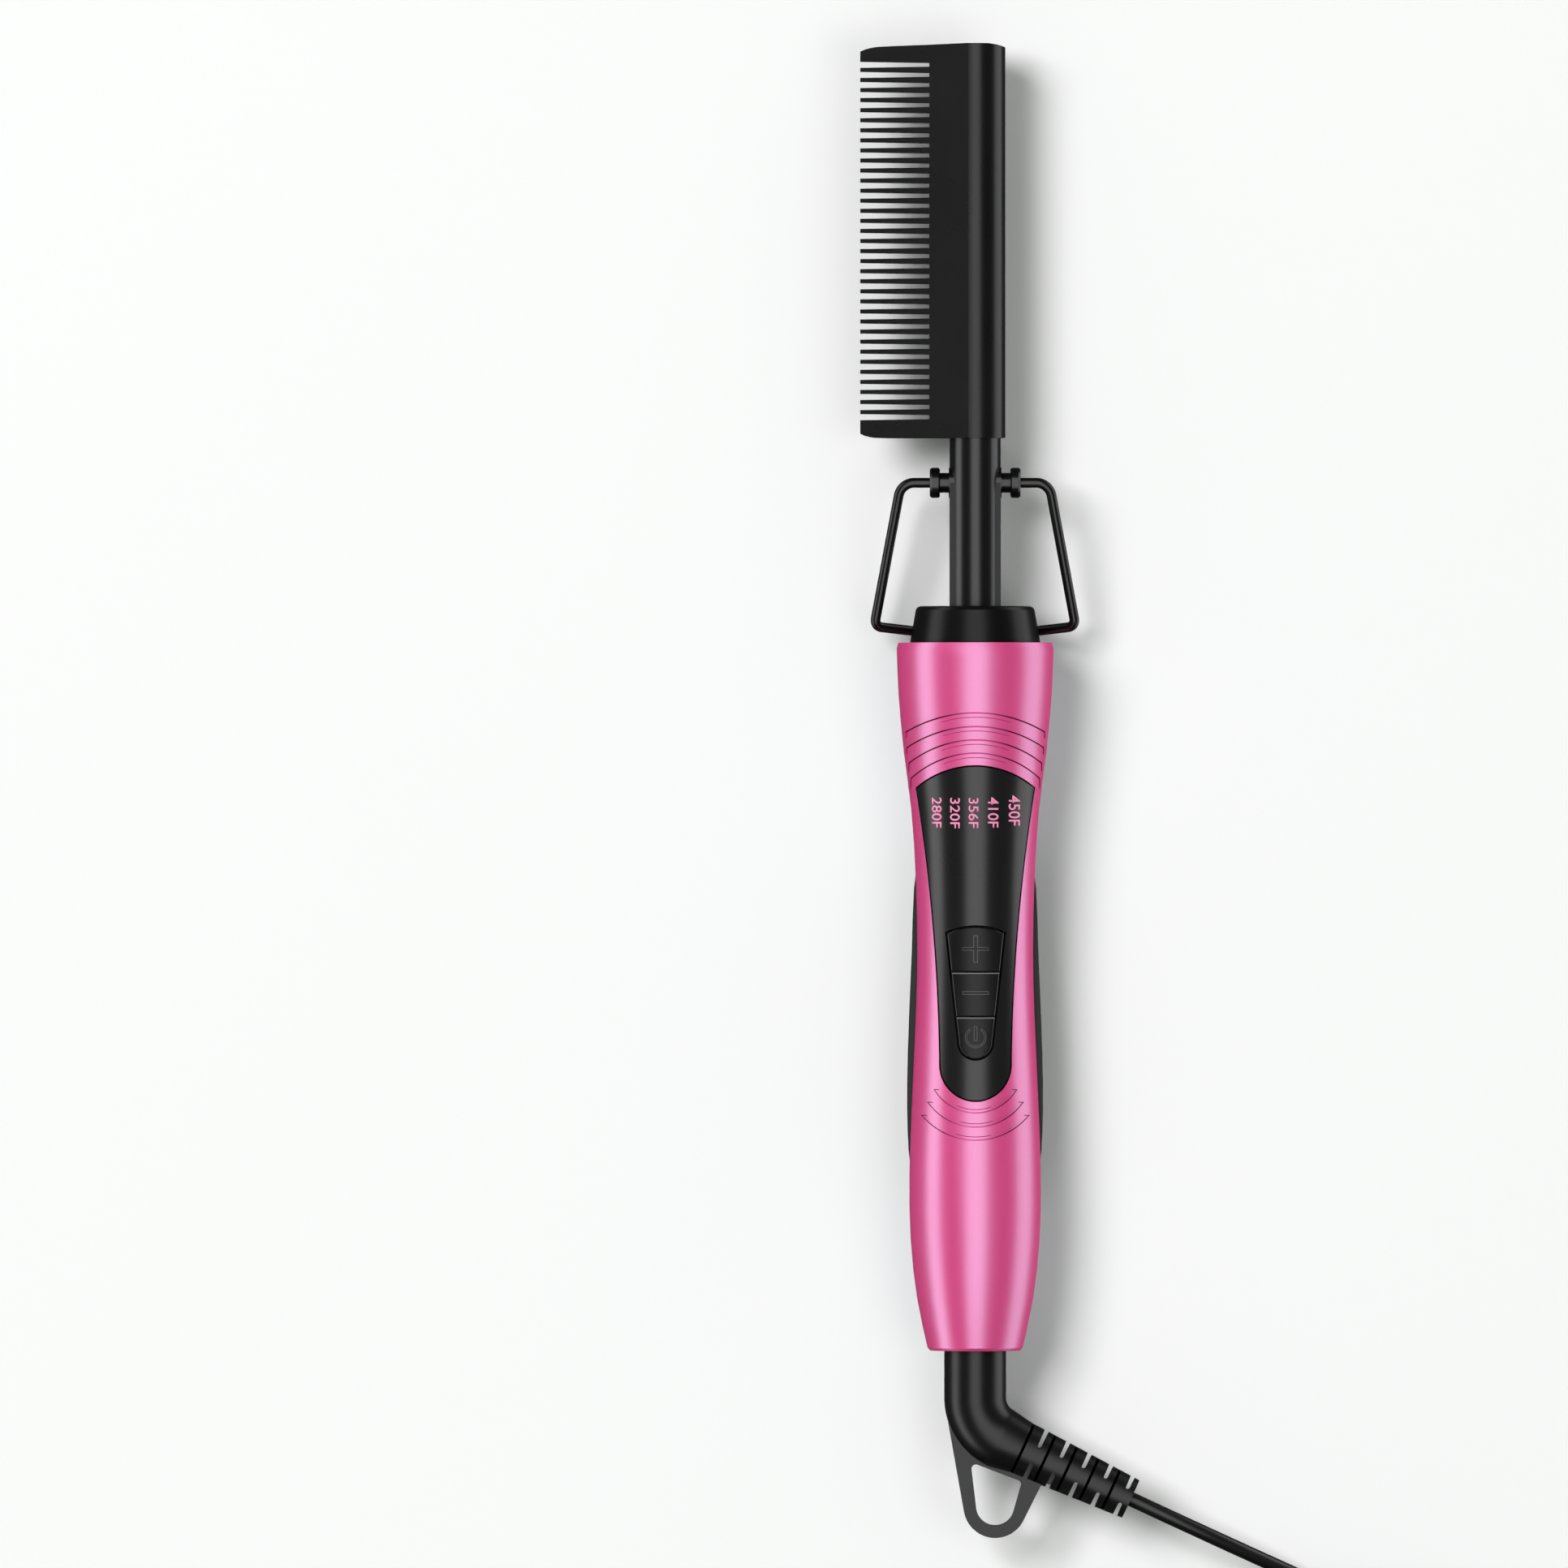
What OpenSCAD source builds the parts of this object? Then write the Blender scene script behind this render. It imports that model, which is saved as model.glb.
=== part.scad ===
/* [Comb head] */
// Length of the heated comb head
head_len = 81; // [78:1:84]
// Radius of the round spine that holds the heater
spine_r = 6.2; // [6:0.1:6.6]
// Reach from the spine's axis to the tooth tips
tooth_reach = 23.6; // [21:0.2:25]
// Length of a tooth from its root to its tip
tooth_len = 14.2; // [12:0.2:15]
// Number of fine teeth between the two end teeth
fine_teeth = 35; // [20:1:36]
// Width of a fine tooth at its root
tooth_root_w = 1.1; // [1:0.05:1.3]
// Width of a fine tooth at its tip
tooth_tip_w = 0.8; // [0.6:0.05:1]
// Width of the two end teeth at their tips
end_tooth_w = 3.7; // [3:0.1:5]
// Thickness of the head across the tooth tips
tip_thick = 1.4; // [1:0.1:2]

/* [Neck and stand] */
// Outside radius of the neck tube
neck_r = 5.25; // [5.2:0.05:5.3]
// Length of neck that shows between the collar and the head
neck_len = 34.5; // [33:0.5:38]
// Wire radius of the folding stand
wire_r = 1.025; // [0.9:0.025:1.05]
// Distance from the head back to the stand's pivot
pivot_back = 9.15; // [8:0.05:10]
// Half the width of the stand where its legs start
bail_top_x = 15.2; // [14:0.1:17]
// Half the width of the stand at its foot
bail_foot_x = 20.7; // [19:0.1:23]

/* [Handle] */
// Largest radius of the handle, at its front rim
flare_r = 16.1; // [15.9:0.05:16.5]
// Smallest radius of the handle, at its waist
waist_r = 11.9; // [11.7:0.1:12.2]
// Radius of the palm swell behind the keys
swell_r = 13.5; // [13.3:0.1:13.8]
// Radius of the handle where it closes round the swivel
tail_r = 9.8; // [9.6:0.1:10]
// Wall thickness of the two handle shells
wall = 2; // [1.8:0.1:2.2]
// Depth of the narrow flat that keeps the handle from rolling
flat_depth = 0.25; // [0.1:0.05:0.4]
// Depth of the decorative grooves
groove_depth = 0.4; // [0.2:0.05:0.5]

/* [Keys] */
// Travel of a key
key_travel = 0.5; // [0.3:0.05:0.6]
// Gap between a key and what is round it
key_gap = 0.25; // [0.2:0.05:0.3]
// How far the keys stand above the panel
key_proud = 0.3; // [0.1:0.05:0.5]

/* [Swivel and cord] */
// Radius of the swivel elbow
elbow_r = 6.35; // [6.2:0.05:6.4]
// Angle that the elbow turns the cord through
elbow_turn = 65; // [60:1:70]
// Length of the ribbed strain relief
relief_len = 24.8; // [24.5:0.1:26]
// Number of ribs cut into the strain relief
relief_ribs = 5; // [3:1:5]
// Diameter of the cord
cord_d = 3; // [2.8:0.1:3.2]
// Turns that lie side by side in the coil
coil_cols = 4; // [3:1:5]
// Layers of turns in the coil
coil_rows = 4; // [3:1:5]
// Radius to the middle of the coil's turns
coil_mid_r = 17.5; // [17:0.5:18]

/* [Hidden] */
$fn = 64;
eps = 0.01;

// Y runs along the handle's axis, towards the comb. X = 0 and Z = 0 lie on that axis.
rim_y = 30.4;
collar_top_y = 37.9;
head_y = collar_top_y + neck_len;
head_end_y = head_y + head_len;
pivot_y = head_y - pivot_back;
tail_y = -114.9;
floor_z = -(flare_r - flat_depth);

// Teeth
tip_half = tip_thick / 2;
flank_angle = asin(spine_r / norm([tooth_reach, tip_half])) - atan(tip_half / tooth_reach);
tooth_root_x = tooth_len - tooth_reach;
tooth_pitch = (head_len - 2 * end_tooth_w + tooth_tip_w) / (fine_teeth + 1);
socket_depth = 12;
heater_bore_r = 3.7;
heater_bore_end = head_end_y - 9;
lead_bore_r = 3.4;

// Stand: arms are let into flats on the neck, and the studs stand on their ends
arm_x = 4.15;
arm_w = 6.2;
stud_shaft_r = 2.03;
stud_head_x = 7.25;
stud_end_x = 9.3;
stud_bore_x = 5.6;
pin_clearance = 0.05;
bail_tilt = 10;
bail_drop_y = 29.45;
bail_foot = [0, 31.4, -17.4];
bail_bend_r = 3.1;
bail_corner_r = 1.7;
bail_foot_r = 17;

// Clamped stack behind the collar, from the collar's foot down
collar_foot_y = 23.5;
bracket_y = 22.2;
tube_flange_y = 20.8;
tube_end_y = 17.5;
bracket_r = 11.4;
collar_flange_r = 14;
collar_flange_top_y = 26.4;
collar_base_r = 13.3;
collar_top_r = 12.1;

// Outline of the handle: stations [y, radius] on a smooth curve
handle_stations = [
  [-114.3, tail_r], [-104, 11.95], [-92, 13.25], [-79, swell_r], [-63, 12.95], [-46, 12.2],
  [-33, waist_r], [-18, 12.2], [-4, 13.1], [8, 14.65], [20, 15.75], [29.2, flare_r]
];
// Outline of the raised rear grip, round an axis that lies lower than the handle's
grip_drop = 2.13;
grip_stations = [
  [-89, 7], [-84, 11.6], [-77, 13.3], [-70, 13.85], [-60, 13.95],
  [-47, 13.6], [-33, 13], [-20, 12.55], [-13, 11.2], [-8, 8]
];
split_line_w = 0.15;
split_line_depth = 0.6;
seat_gap = 0.1;
groove_stop_z = 2;
// Grooves above the panel: [crown, radius, reach to either side], and below it also where they end
upper_grooves = [[16.1, 28, 14.3], [13.3, 25, 14.1], [10.55, 22, 13.7], [7.85, 19.4, 13.3]];
lower_grooves = [[-66.1, 9.9, 12, -61.3], [-69, 12, 12, -63.9], [-71.7, 14.5, 12, -66.6]];
end_wall = 3;
swivel_hole_r = elbow_r + 0.08;
screw_ys = [12, -86];
screw_seat_z = [-9, -8];

// Panel outline
panel_top_y = 5.1;
panel_top_r = 18.65;
panel_side_r = 380;
panel_side_y = -60;
panel_half_w = 7.3;
panel_end_y = -56.3;
panel_floor_z = 3.6;
panel_thick = 3.2;
panel_lip = 1.2;

// Key outline
key_top_y = -27.75;
key_top_r = 14.2;
key_wide = 6.05;
key_wide_y = -29.1;
key_narrow = 3.6;
key_narrow_y = -51.5;
key_splits = [-37.1, -46.25];
key_floor_z = 7.1;
key_flange = 0.7;
switch_ys = [-33, -42, -50.4];
board_top_z = 1.6;
board_thick = 1.2;
board_half_w = 8.8;
board_y = [-78, 6];
switch_h = 3.2;
plunger_r = 1;
plunger_top_z = 5.7;
scale_xs = [-7.9, -4.25, -0.4, 3.6, 7.9];
scale_y = -4.4;

// Swivel
rotor_flange_r = 7.6;
rotor_flange_y = [-111.6, -109.8];
rotor_stem_r = 4.4;
rotor_stem_y = -95;
rotor_pin_r = 3;
rotor_pin_y = -90.3;
ring_ys = [-106.6, -101];
ring_w = 2.6;
ring_r = 5.2;
holder_y = [-93.4, -90.4];

// Elbow and strain relief, in the plane of the axis
elbow_y = -124.6;
elbow_bend_r = 9.3;
relief_dir = [sin(elbow_turn), -cos(elbow_turn), 0];
elbow_end = [elbow_bend_r * (1 - cos(elbow_turn)), elbow_y - elbow_bend_r * sin(elbow_turn), 0];
relief_start = 4.5;
relief_r = [5.6, 4.25];
relief_end = elbow_end + (relief_start + relief_len) * relief_dir;
rib_pitch = relief_len / (relief_ribs - 0.04);
side_slot_w = 0.95;
web_w = 3;
ring_slot_w = 0.6;
core_r = 2;
slot_first = 2.8;

// Hanging loop: centre of its round end, outer and inner radius
loop_c = [4.1, -146.9];
loop_r = 6.5;
loop_hole_r = 3.9;
loop_thick = 2.6;
loop_lean = 26.6;

// The object is placed with the middle of its base at the origin
reach_x = relief_end[0] + relief_r[1] * cos(elbow_turn);
shift = [
  (tooth_reach - reach_x) / 2,
  -(head_end_y + loop_c[1] - loop_r) / 2,
  -floor_z
];

// Cord from the strain relief to the coil, dead straight in plan: [distance, share of its first height]
cord_r = cord_d / 2;
coil_at = 62;
cord_run = [
  [0, 1], [6, 1], [14, 0.94], [22, 0.79], [30, 0.56], [38, 0.32], [46, 0.13], [54, 0.03],
  [coil_at, 0], [68, 0]
];
// Tail from the top of the coil down to the plug: [distance, share of its first height]
tail_run = [[-6, 1], [0, 1], [5, 0.9], [10, 0.55], [15, 0.18], [20, 0.03], [23, 0]];
coil_in_r = coil_mid_r - coil_cols * cord_r;
coil_out_r = coil_mid_r + coil_cols * cord_r;
coil_h = coil_rows * cord_d;
coil_side = [cos(elbow_turn), sin(elbow_turn), 0];
coil_c = relief_end + coil_at * relief_dir - (coil_out_r - cord_r) * coil_side;
tail_start = coil_c - (coil_out_r - cord_r) * coil_side;
tie_angle = 335;
tie_w = 7;
tie_thick = 0.6;

// Plug
plug_h = 12;
plug_len = 24;
plug_w = 24;
plug_back_w = 10;
gland_len = 14;
gland_start = 20;
gland_slots = 4;
grip_grooves = 5;
blade_gap = 12.7;
blade_size = [16, 1.5, 6.35];
blade_hole = [11.7, 3.1];
blade_tip = 0.8;

// ---- Helpers ----

function unit(v) = v / norm(v);

// Point on the smooth curve through the stations, a fraction t past station i
function curve_at(p, i, t) = let(
    a = p[max(i - 1, 0)],
    b = p[i],
    c = p[i + 1],
    d = p[min(i + 2, len(p) - 1)]
  ) 0.5 * (2 * b + (c - a) * t + (2 * a - 5 * b + 4 * c - d) * t * t + (3 * b - a - 3 * c + d) * t * t * t);

function curve(p, n) = concat(
  [for (i = [0:len(p) - 2], k = [0:n - 1]) curve_at(p, i, k / n)],
  [p[len(p) - 1]]
);

module place() { translate(shift) children(); }

// Puts a shape drawn up +Z along +Y, from y
module along_y(y) { translate([0, y, 0]) rotate([-90, 0, 0]) children(); }

// Puts a shape drawn up +Z along +X or -X, from x
module along_x(side, x) { translate([side * x, 0, 0]) rotate([0, side * 90, 0]) children(); }

// Solid of revolution round Y through [y, radius] points
module turned(points) {
  first = points[0];
  last = points[len(points) - 1];
  along_y(0) rotate_extrude() polygon(concat(
    [[0, first[0]]],
    [for (p = points) [p[1], p[0]]],
    [[0, last[0]]]
  ));
}

// The handle as a solid, with its surface moved in by inset
module handle_form(inset = 0) {
  turned(concat(
    [[tail_y + inset * eps, tail_r - 0.55 - inset]],
    [for (p = curve(handle_stations, 2)) [p[0], p[1] - inset]],
    [[rim_y, flare_r - 0.3 - inset]]
  ));
}

module cube_between(lo, hi) { translate(lo) cube(hi - lo); }

module front_half(z = 0) { cube_between([-40, -130, z], [40, 60, 40]); }

module slab(y0, y1) { cube_between([-40, y0, -40], [40, y1, 40]); }

// Points along the way p[0] to p[n], with corner i rounded to bends[i - 1] in steps of about 15 degrees
function corner(p, i, r) = let(
    d0 = unit(p[i] - p[i - 1]),
    d1 = unit(p[i + 1] - p[i]),
    turn = acos(d0 * d1),
    n = unit(d1 - (d1 * d0) * d0),
    start = p[i] - r * tan(turn / 2) * d0,
    steps = ceil(turn / 15)
  ) [for (k = [0:steps]) let(a = turn * k / steps) start + r * (sin(a) * d0 + (1 - cos(a)) * n)];

function rounded_way(p, bends) = concat(
  [p[0]],
  [for (i = [1:len(p) - 2]) each corner(p, i, bends[i - 1])],
  [p[len(p) - 1]]
);

function direction(p, i) = i == 0 ? unit(p[1] - p[0]) :
  i == len(p) - 1 ? unit(p[i] - p[i - 1]) : unit(unit(p[i + 1] - p[i]) + unit(p[i] - p[i - 1]));

// Side vector at each point, turned as little as possible from one point to the next
function side_vectors(dirs, u, i = 0) = i == len(dirs) ? [] : let(
    v = unit(u - (u * dirs[i]) * dirs[i])
  ) concat([v], side_vectors(dirs, v, i + 1));

// Tube of n sides swept along the points
module tube(p, r, n) {
  last = len(p) - 1;
  dirs = [for (i = [0:last]) direction(p, i)];
  across = abs(dirs[0][2]) > 0.9 ? [1, 0, 0] : cross(dirs[0], [0, 0, 1]);
  us = side_vectors(dirs, across);
  rings = [for (i = [0:last]) let(v = cross(us[i], dirs[i]))
    each [for (k = [0:n - 1]) p[i] + r * (cos(360 * k / n) * us[i] + sin(360 * k / n) * v)]];
  sides = [for (i = [0:last - 1], k = [0:n - 1]) let(j = (k + 1) % n)
    [i * n + k, i * n + j, (i + 1) * n + j, (i + 1) * n + k]];
  polyhedron(
    points = rings,
    faces = concat(sides, [[for (k = [n - 1:-1:0]) k], [for (k = [0:n - 1]) last * n + k]])
  );
}

// Round wire along a way with rounded corners
module wire(p, bends, r, n = 8) { tube(rounded_way(p, bends), r, n); }

// ---- Comb head and heater ----

module head_section() {
  circle(r = spine_r);
  polygon([
    [-spine_r * sin(flank_angle), spine_r * cos(flank_angle)],
    [-tooth_reach, tip_half],
    [-tooth_reach, -tip_half],
    [-spine_r * sin(flank_angle), -spine_r * cos(flank_angle)]
  ]);
}

// Plan of the head: its upper end is crowned, and the tip corners are rounded back
module head_plan() {
  lo = head_y;
  hi = head_end_y;
  polygon([
    [8, lo + 0.4], [5.5, lo], [-18, lo], [-20.6, lo + 0.08], [-21.6, lo + 0.22], [-22.7, lo + 0.5],
    [-23.6, lo + 0.9], [-25, lo + 1.7], [-25, hi - 2.3], [-23.6, hi - 1.6], [-22.5, hi - 1.15],
    [-21.3, hi - 0.85], [-20, hi - 0.68], [-17, hi - 0.55], [-10, hi - 0.32], [-2, hi], [2.5, hi],
    [4.2, hi - 0.2], [5.6, hi - 0.55], [8, hi - 1.4]
  ]);
}

module tooth_gap(y) {
  tip_gap = (tooth_pitch - tooth_tip_w) / 2;
  root_gap = (tooth_pitch - tooth_root_w) / 2;
  translate([0, y]) polygon([
    [tooth_root_x, root_gap], [-tooth_reach - 1, tip_gap],
    [-tooth_reach - 1, -tip_gap], [tooth_root_x, -root_gap]
  ]);
}

module comb_head() {
  first_gap = head_y + end_tooth_w + (tooth_pitch - tooth_tip_w) / 2;
  place() color("#1d1d1e") difference() {
    intersection() {
      along_y(head_y) linear_extrude(head_len) head_section();
      linear_extrude(20, center = true) head_plan();
    }
    linear_extrude(20, center = true) for (i = [0:fine_teeth]) tooth_gap(first_gap + i * tooth_pitch);
    along_y(head_y - 1) cylinder(h = socket_depth + 1, r = neck_r);
    along_y(head_y) cylinder(h = heater_bore_end - head_y, r = heater_bore_r);
  }
}

module heater_rod() {
  place() color("ivory") along_y(head_y + socket_depth + 4) {
    cylinder(h = heater_bore_end - head_y - socket_depth - 5, r = heater_bore_r);
    translate([0, 0, -2]) cylinder(h = 2 + eps, r = 2.6);
  }
}

module thermistor() {
  bead = head_y + socket_depth - 1;
  place() color("goldenrod") {
    translate([0, bead, -1.6]) along_y(-1.5) cylinder(h = 3, r = 0.9);
    for (side = [-1, 1]) wire([
      [side * 0.45, bead, -1.6], [side * 0.45, 18, -1.6], [side * 4.6, 14, -1], [side * 4.6, 4, -1],
      [side * 4.6, 4, board_top_z - board_thick]
    ], [1, 1, 0.6], 0.3);
  }
}

module heater_leads() {
  place() color("white") for (side = [-1, 1]) wire([
    [side * 1.5, head_y + socket_depth + 2, 0.6], [side * 1.5, 18, 0.6], [side * 6.2, 12, 3],
    [side * 6.2, 3, 3], [side * 6.2, 3, board_top_z]
  ], [2, 2, 0.9], 0.7);
}

// ---- Neck, stand and collar ----

module neck_tube() {
  place() color("#262627") difference() {
    union() {
      along_y(tube_end_y) cylinder(h = head_y + socket_depth - tube_end_y, r = neck_r);
      along_y(tube_flange_y) cylinder(h = bracket_y - tube_flange_y, r = 7.5);
    }
    along_y(tube_end_y - 1) cylinder(h = head_len, r = lead_bore_r);
    for (side = [-1, 1]) {
      mirror([side < 0 ? 1 : 0, 0, 0]) cube_between([arm_x, bracket_y, -4], [7, pivot_y, 4]);
      translate([0, pivot_y, 0]) along_x(side, arm_x) cylinder(h = 3, r = arm_w / 2);
    }
  }
}

module stand_bracket() {
  place() color("#232324") difference() {
    union() {
      along_y(bracket_y) cylinder(h = collar_foot_y - bracket_y, r = bracket_r);
      for (side = [-1, 1]) mirror([side < 0 ? 1 : 0, 0, 0])
        cube_between([arm_x, bracket_y, -arm_w / 2], [neck_r, pivot_y, arm_w / 2]);
    }
    intersection() {
      along_y(bracket_y - 1) cylinder(h = 4, r = neck_r);
      cube_between([-arm_x, 0, -10], [arm_x, 40, 10]);
    }
    translate([0, pivot_y, 0]) along_x(1, -9) cylinder(h = 18, r = arm_w / 2);
  }
}

module pivot_studs() {
  place() color("#161617") translate([0, pivot_y, 0]) for (side = [-1, 1]) difference() {
    union() {
      along_x(side, arm_x) cylinder(h = neck_r + 0.15 - arm_x, r = arm_w / 2);
      along_x(side, neck_r) cylinder(h = stud_end_x - neck_r, r = stud_shaft_r);
      along_x(side, stud_head_x) rotate_extrude() polygon([
        [0, 0], [2.85, 0], [3.1, 0.3], [3.1, 1.65], [2.75, 2.05], [0, 2.05]
      ]);
    }
    along_x(side, stud_bore_x) cylinder(h = 5, r = wire_r + pin_clearance);
  }
}

module stand_bail() {
  corner = [bail_foot_x, pivot_y - bail_drop_y, -bail_drop_y * tan(bail_tilt)];
  right = [[stud_bore_x + 0.3, pivot_y, 0], [bail_top_x, pivot_y, 0], corner];
  left = [for (i = [2:-1:0]) [-right[i][0], right[i][1], right[i][2]]];
  place() color("#1a1a1b") wire(
    concat(right, [bail_foot], left),
    [bail_bend_r, bail_corner_r, bail_foot_r, bail_corner_r, bail_bend_r],
    wire_r,
    16
  );
}

module collar() {
  place() color("#1f1f20") difference() {
    turned([
      [collar_foot_y, collar_flange_r], [collar_flange_top_y, collar_flange_r],
      [collar_flange_top_y, collar_base_r], [30.9, collar_base_r], [collar_top_y - 0.8, collar_top_r + 0.1],
      [collar_top_y - 0.25, collar_top_r - 0.2], [collar_top_y, collar_top_r - 0.8]
    ]);
    along_y(collar_foot_y - 1) cylinder(h = 20, r = neck_r);
    cube_between([-neck_r, collar_foot_y - 1, -arm_w / 2], [neck_r, collar_top_y + 1, arm_w / 2]);
  }
}

// ---- Handle ----

// Plan of the control panel, grown outwards by grow
module panel_plan(grow = 0) {
  difference() {
    union() {
      intersection() {
        translate([0, panel_top_y - panel_top_r]) circle(r = panel_top_r + grow, $fn = 180);
        translate([-20, panel_end_y]) square([40, 80]);
      }
      intersection() {
        translate([-20, panel_end_y]) square([40, 50]);
        translate([-12.2 - grow, panel_end_y]) square([24.4 + 2 * grow, 50]);
      }
      translate([0, panel_end_y]) circle(r = panel_half_w + grow);
    }
    for (side = [-1, 1]) translate([side * (panel_side_r + panel_half_w), panel_side_y])
      circle(r = panel_side_r - grow, $fn = 720);
  }
}

// Plan of the keys together, grown outwards by grow
module keys_plan(grow = 0) {
  difference() {
    union() {
      polygon([
        [-key_wide - grow, key_wide_y], [-key_wide - grow, key_top_y + grow],
        [key_wide + grow, key_top_y + grow], [key_wide + grow, key_wide_y],
        [key_narrow + grow, key_narrow_y], [-key_narrow - grow, key_narrow_y]
      ]);
      translate([0, key_narrow_y]) circle(r = key_narrow + grow);
    }
    difference() {
      translate([-20, key_wide_y]) square([40, 10]);
      translate([0, key_top_y - key_top_r]) circle(r = key_top_r + grow, $fn = 180);
    }
  }
}

// Plan of a bowed groove: its sharp edge is an arc of radius r with its crown at y, open below (bow 1)
// or above (bow -1), and its other edge runs from w away at the crown to a little more at the ends
module groove_plan(y, r, w, spread, end_x, stop_y, bow) {
  intersection() {
    difference() {
      translate([0, y - bow * r]) circle(r = r, $fn = 240);
      translate([0, y - bow * (w + r - spread)]) circle(r = r - spread, $fn = 240);
    }
    translate([-end_x, bow > 0 ? stop_y : y - 1]) square([2 * end_x, bow > 0 ? 20 : stop_y - y + 1]);
  }
}

// Every groove is a shallow channel w wide with a deeper line along its sharp edge
module groove_cuts(w, spread, depth) {
  difference() {
    translate([0, 0, groove_stop_z]) linear_extrude(20) {
      for (g = upper_grooves) groove_plan(g[0], g[1], w, spread, g[2], 0, 1);
      for (g = lower_grooves) groove_plan(g[0], g[1], w * 0.75, spread / 3, g[2], g[3], -1);
    }
    handle_form(depth);
  }
}

module handle_grooves() {
  groove_cuts(0.95, 2.6, groove_depth * 0.4);
  groove_cuts(0.3, 0, groove_depth);
}

// Both shells before they are split: hollow, with the collar's seat and the swivel's hole
module shell_blank() {
  difference() {
    handle_form();
    difference() {
      handle_form(wall);
      slab(tail_y - 1, tail_y + end_wall);
      slab(18.9, 40);
    }
    along_y(18) cylinder(h = 3, r = neck_r);
    along_y(tube_flange_y) cylinder(h = collar_foot_y - tube_flange_y, r = bracket_r);
    along_y(collar_foot_y) cylinder(h = collar_flange_top_y - collar_foot_y, r = collar_flange_r);
    along_y(collar_foot_y) cylinder(h = 10, r = collar_base_r);
    along_y(tail_y - 1) cylinder(h = end_wall + 2, r = swivel_hole_r);
    difference() {
      cube_between([-40, -130, -split_line_w / 2], [40, 60, split_line_w / 2]);
      handle_form(split_line_depth);
    }
  }
}

module front_shell() {
  place() color("#e0609a") difference() {
    union() {
      intersection() {
        shell_blank();
        front_half();
      }
      intersection() {
        for (y = screw_ys) translate([0, y, 0]) cylinder(h = 16, r = 3);
        handle_form(1);
      }
    }
    for (y = screw_ys) translate([0, y, -1]) cylinder(h = 9, r = 1.3);
    translate([0, 0, panel_floor_z - seat_gap]) linear_extrude(20) panel_plan(seat_gap);
    handle_grooves();
  }
}

module rear_shell() {
  place() color("#d4568f") difference() {
    union() {
      difference() {
        shell_blank();
        front_half();
      }
      intersection() {
        union() {
          for (y = screw_ys) translate([0, y, -20]) cylinder(h = 20, r = 4);
          for (x = [-6, 6], y = [-72, -1]) translate([x, y, -20])
            cylinder(h = 20 + board_top_z - board_thick, r = 1.4);
        }
        handle_form(1);
      }
    }
    for (i = [0:1]) translate([0, screw_ys[i], 0]) {
      translate([0, 0, -20]) cylinder(h = 20 + screw_seat_z[i], r = 2.8);
      translate([0, 0, -20]) cylinder(h = 21, r = 1.6);
    }
    cube_between([-20, -130, floor_z - 2], [20, 60, floor_z]);
  }
}

module rear_grip() {
  place() color("#2b2c2d") difference() {
    translate([0, 0, -grip_drop]) turned(curve(grip_stations, 2));
    front_half(-split_line_w / 2);
    handle_form();
    cube_between([-20, -130, floor_z - 4], [20, 60, floor_z]);
  }
}

module handle_screws() {
  place() color("silver") for (i = [0:1]) translate([0, screw_ys[i], screw_seat_z[i]]) {
    cylinder(h = 7 - screw_seat_z[i], r = 1.3);
    translate([0, 0, -1.8]) cylinder(h = 1.8, r = 2.5);
  }
}

// ---- Panel and keys ----

module control_panel() {
  place() color("#2e2f30") difference() {
    intersection() {
      handle_form(-0.1);
      union() {
        translate([0, 0, panel_floor_z]) linear_extrude(20) panel_plan();
        intersection() {
          translate([0, 0, panel_floor_z]) linear_extrude(20) panel_plan(panel_lip);
          handle_form(wall);
        }
      }
    }
    handle_form(panel_thick);
    linear_extrude(20) keys_plan();
  }
}

// One key: index 0 is next to the comb. It carries a flange that keeps it under the panel.
module key(i) {
  hi = i == 0 ? 0 : key_splits[i - 1] - key_gap / 2;
  lo = i == 2 ? -80 : key_splits[i] + key_gap / 2;
  place() color("#242526") union() {
    intersection() {
      translate([0, 0, key_floor_z - 1]) linear_extrude(10) keys_plan(-key_gap);
      handle_form(-key_proud);
      slab(lo, hi);
    }
    intersection() {
      translate([0, 0, key_floor_z - 1]) linear_extrude(1 - key_gap) keys_plan(key_flange);
      slab(lo, hi);
      handle_form(panel_thick + 0.35);
    }
    translate([0, switch_ys[i], plunger_top_z]) cylinder(h = key_floor_z - plunger_top_z, r = 1.6);
  }
}

module key_plus() { key(0); }

module key_minus() { key(1); }

module key_power() { key(2); }

// Plunger of a key's switch: it slides in the switch's bore
module plunger(i) {
  foot_z = board_top_z + switch_h - 1;
  place() color("ivory") translate([0, switch_ys[i], foot_z])
    cylinder(h = plunger_top_z - foot_z, r = plunger_r);
}

module plunger_plus() { plunger(0); }

module plunger_minus() { plunger(1); }

module plunger_power() { plunger(2); }

module tact_switches() {
  place() color("#303030") for (y = switch_ys) translate([0, y, board_top_z]) difference() {
    translate([-2.3, -2.3, 0]) cube([4.6, 4.6, switch_h]);
    translate([0, 0, switch_h - 1.3 - key_travel]) cylinder(h = 5, r = plunger_r + 0.08);
  }
}

// ---- Electronics ----

module circuit_board() {
  w = board_half_w;
  place() color("#1d6b3c") difference() {
    cube_between([-w, board_y[0], board_top_z - board_thick], [w, board_y[1], board_top_z]);
    for (x = [-w, w]) translate([x, board_y[1], -1]) cylinder(h = 5, r = 3);
  }
}

module indicator_leds() {
  place() color("#f4c9d8") for (x = scale_xs)
    translate([x - 0.4, scale_y - 0.8, board_top_z]) cube([0.8, 1.6, 0.7]);
}

module control_chip() {
  place() color("#202020") translate([-2, -20, board_top_z]) {
    cube([4, 5, 1.4]);
    for (x = [-0.9, 4], k = [0:3]) translate([x, 0.5 + 1.27 * k, 0]) cube([0.9, 0.4, 0.5]);
  }
}

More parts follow.
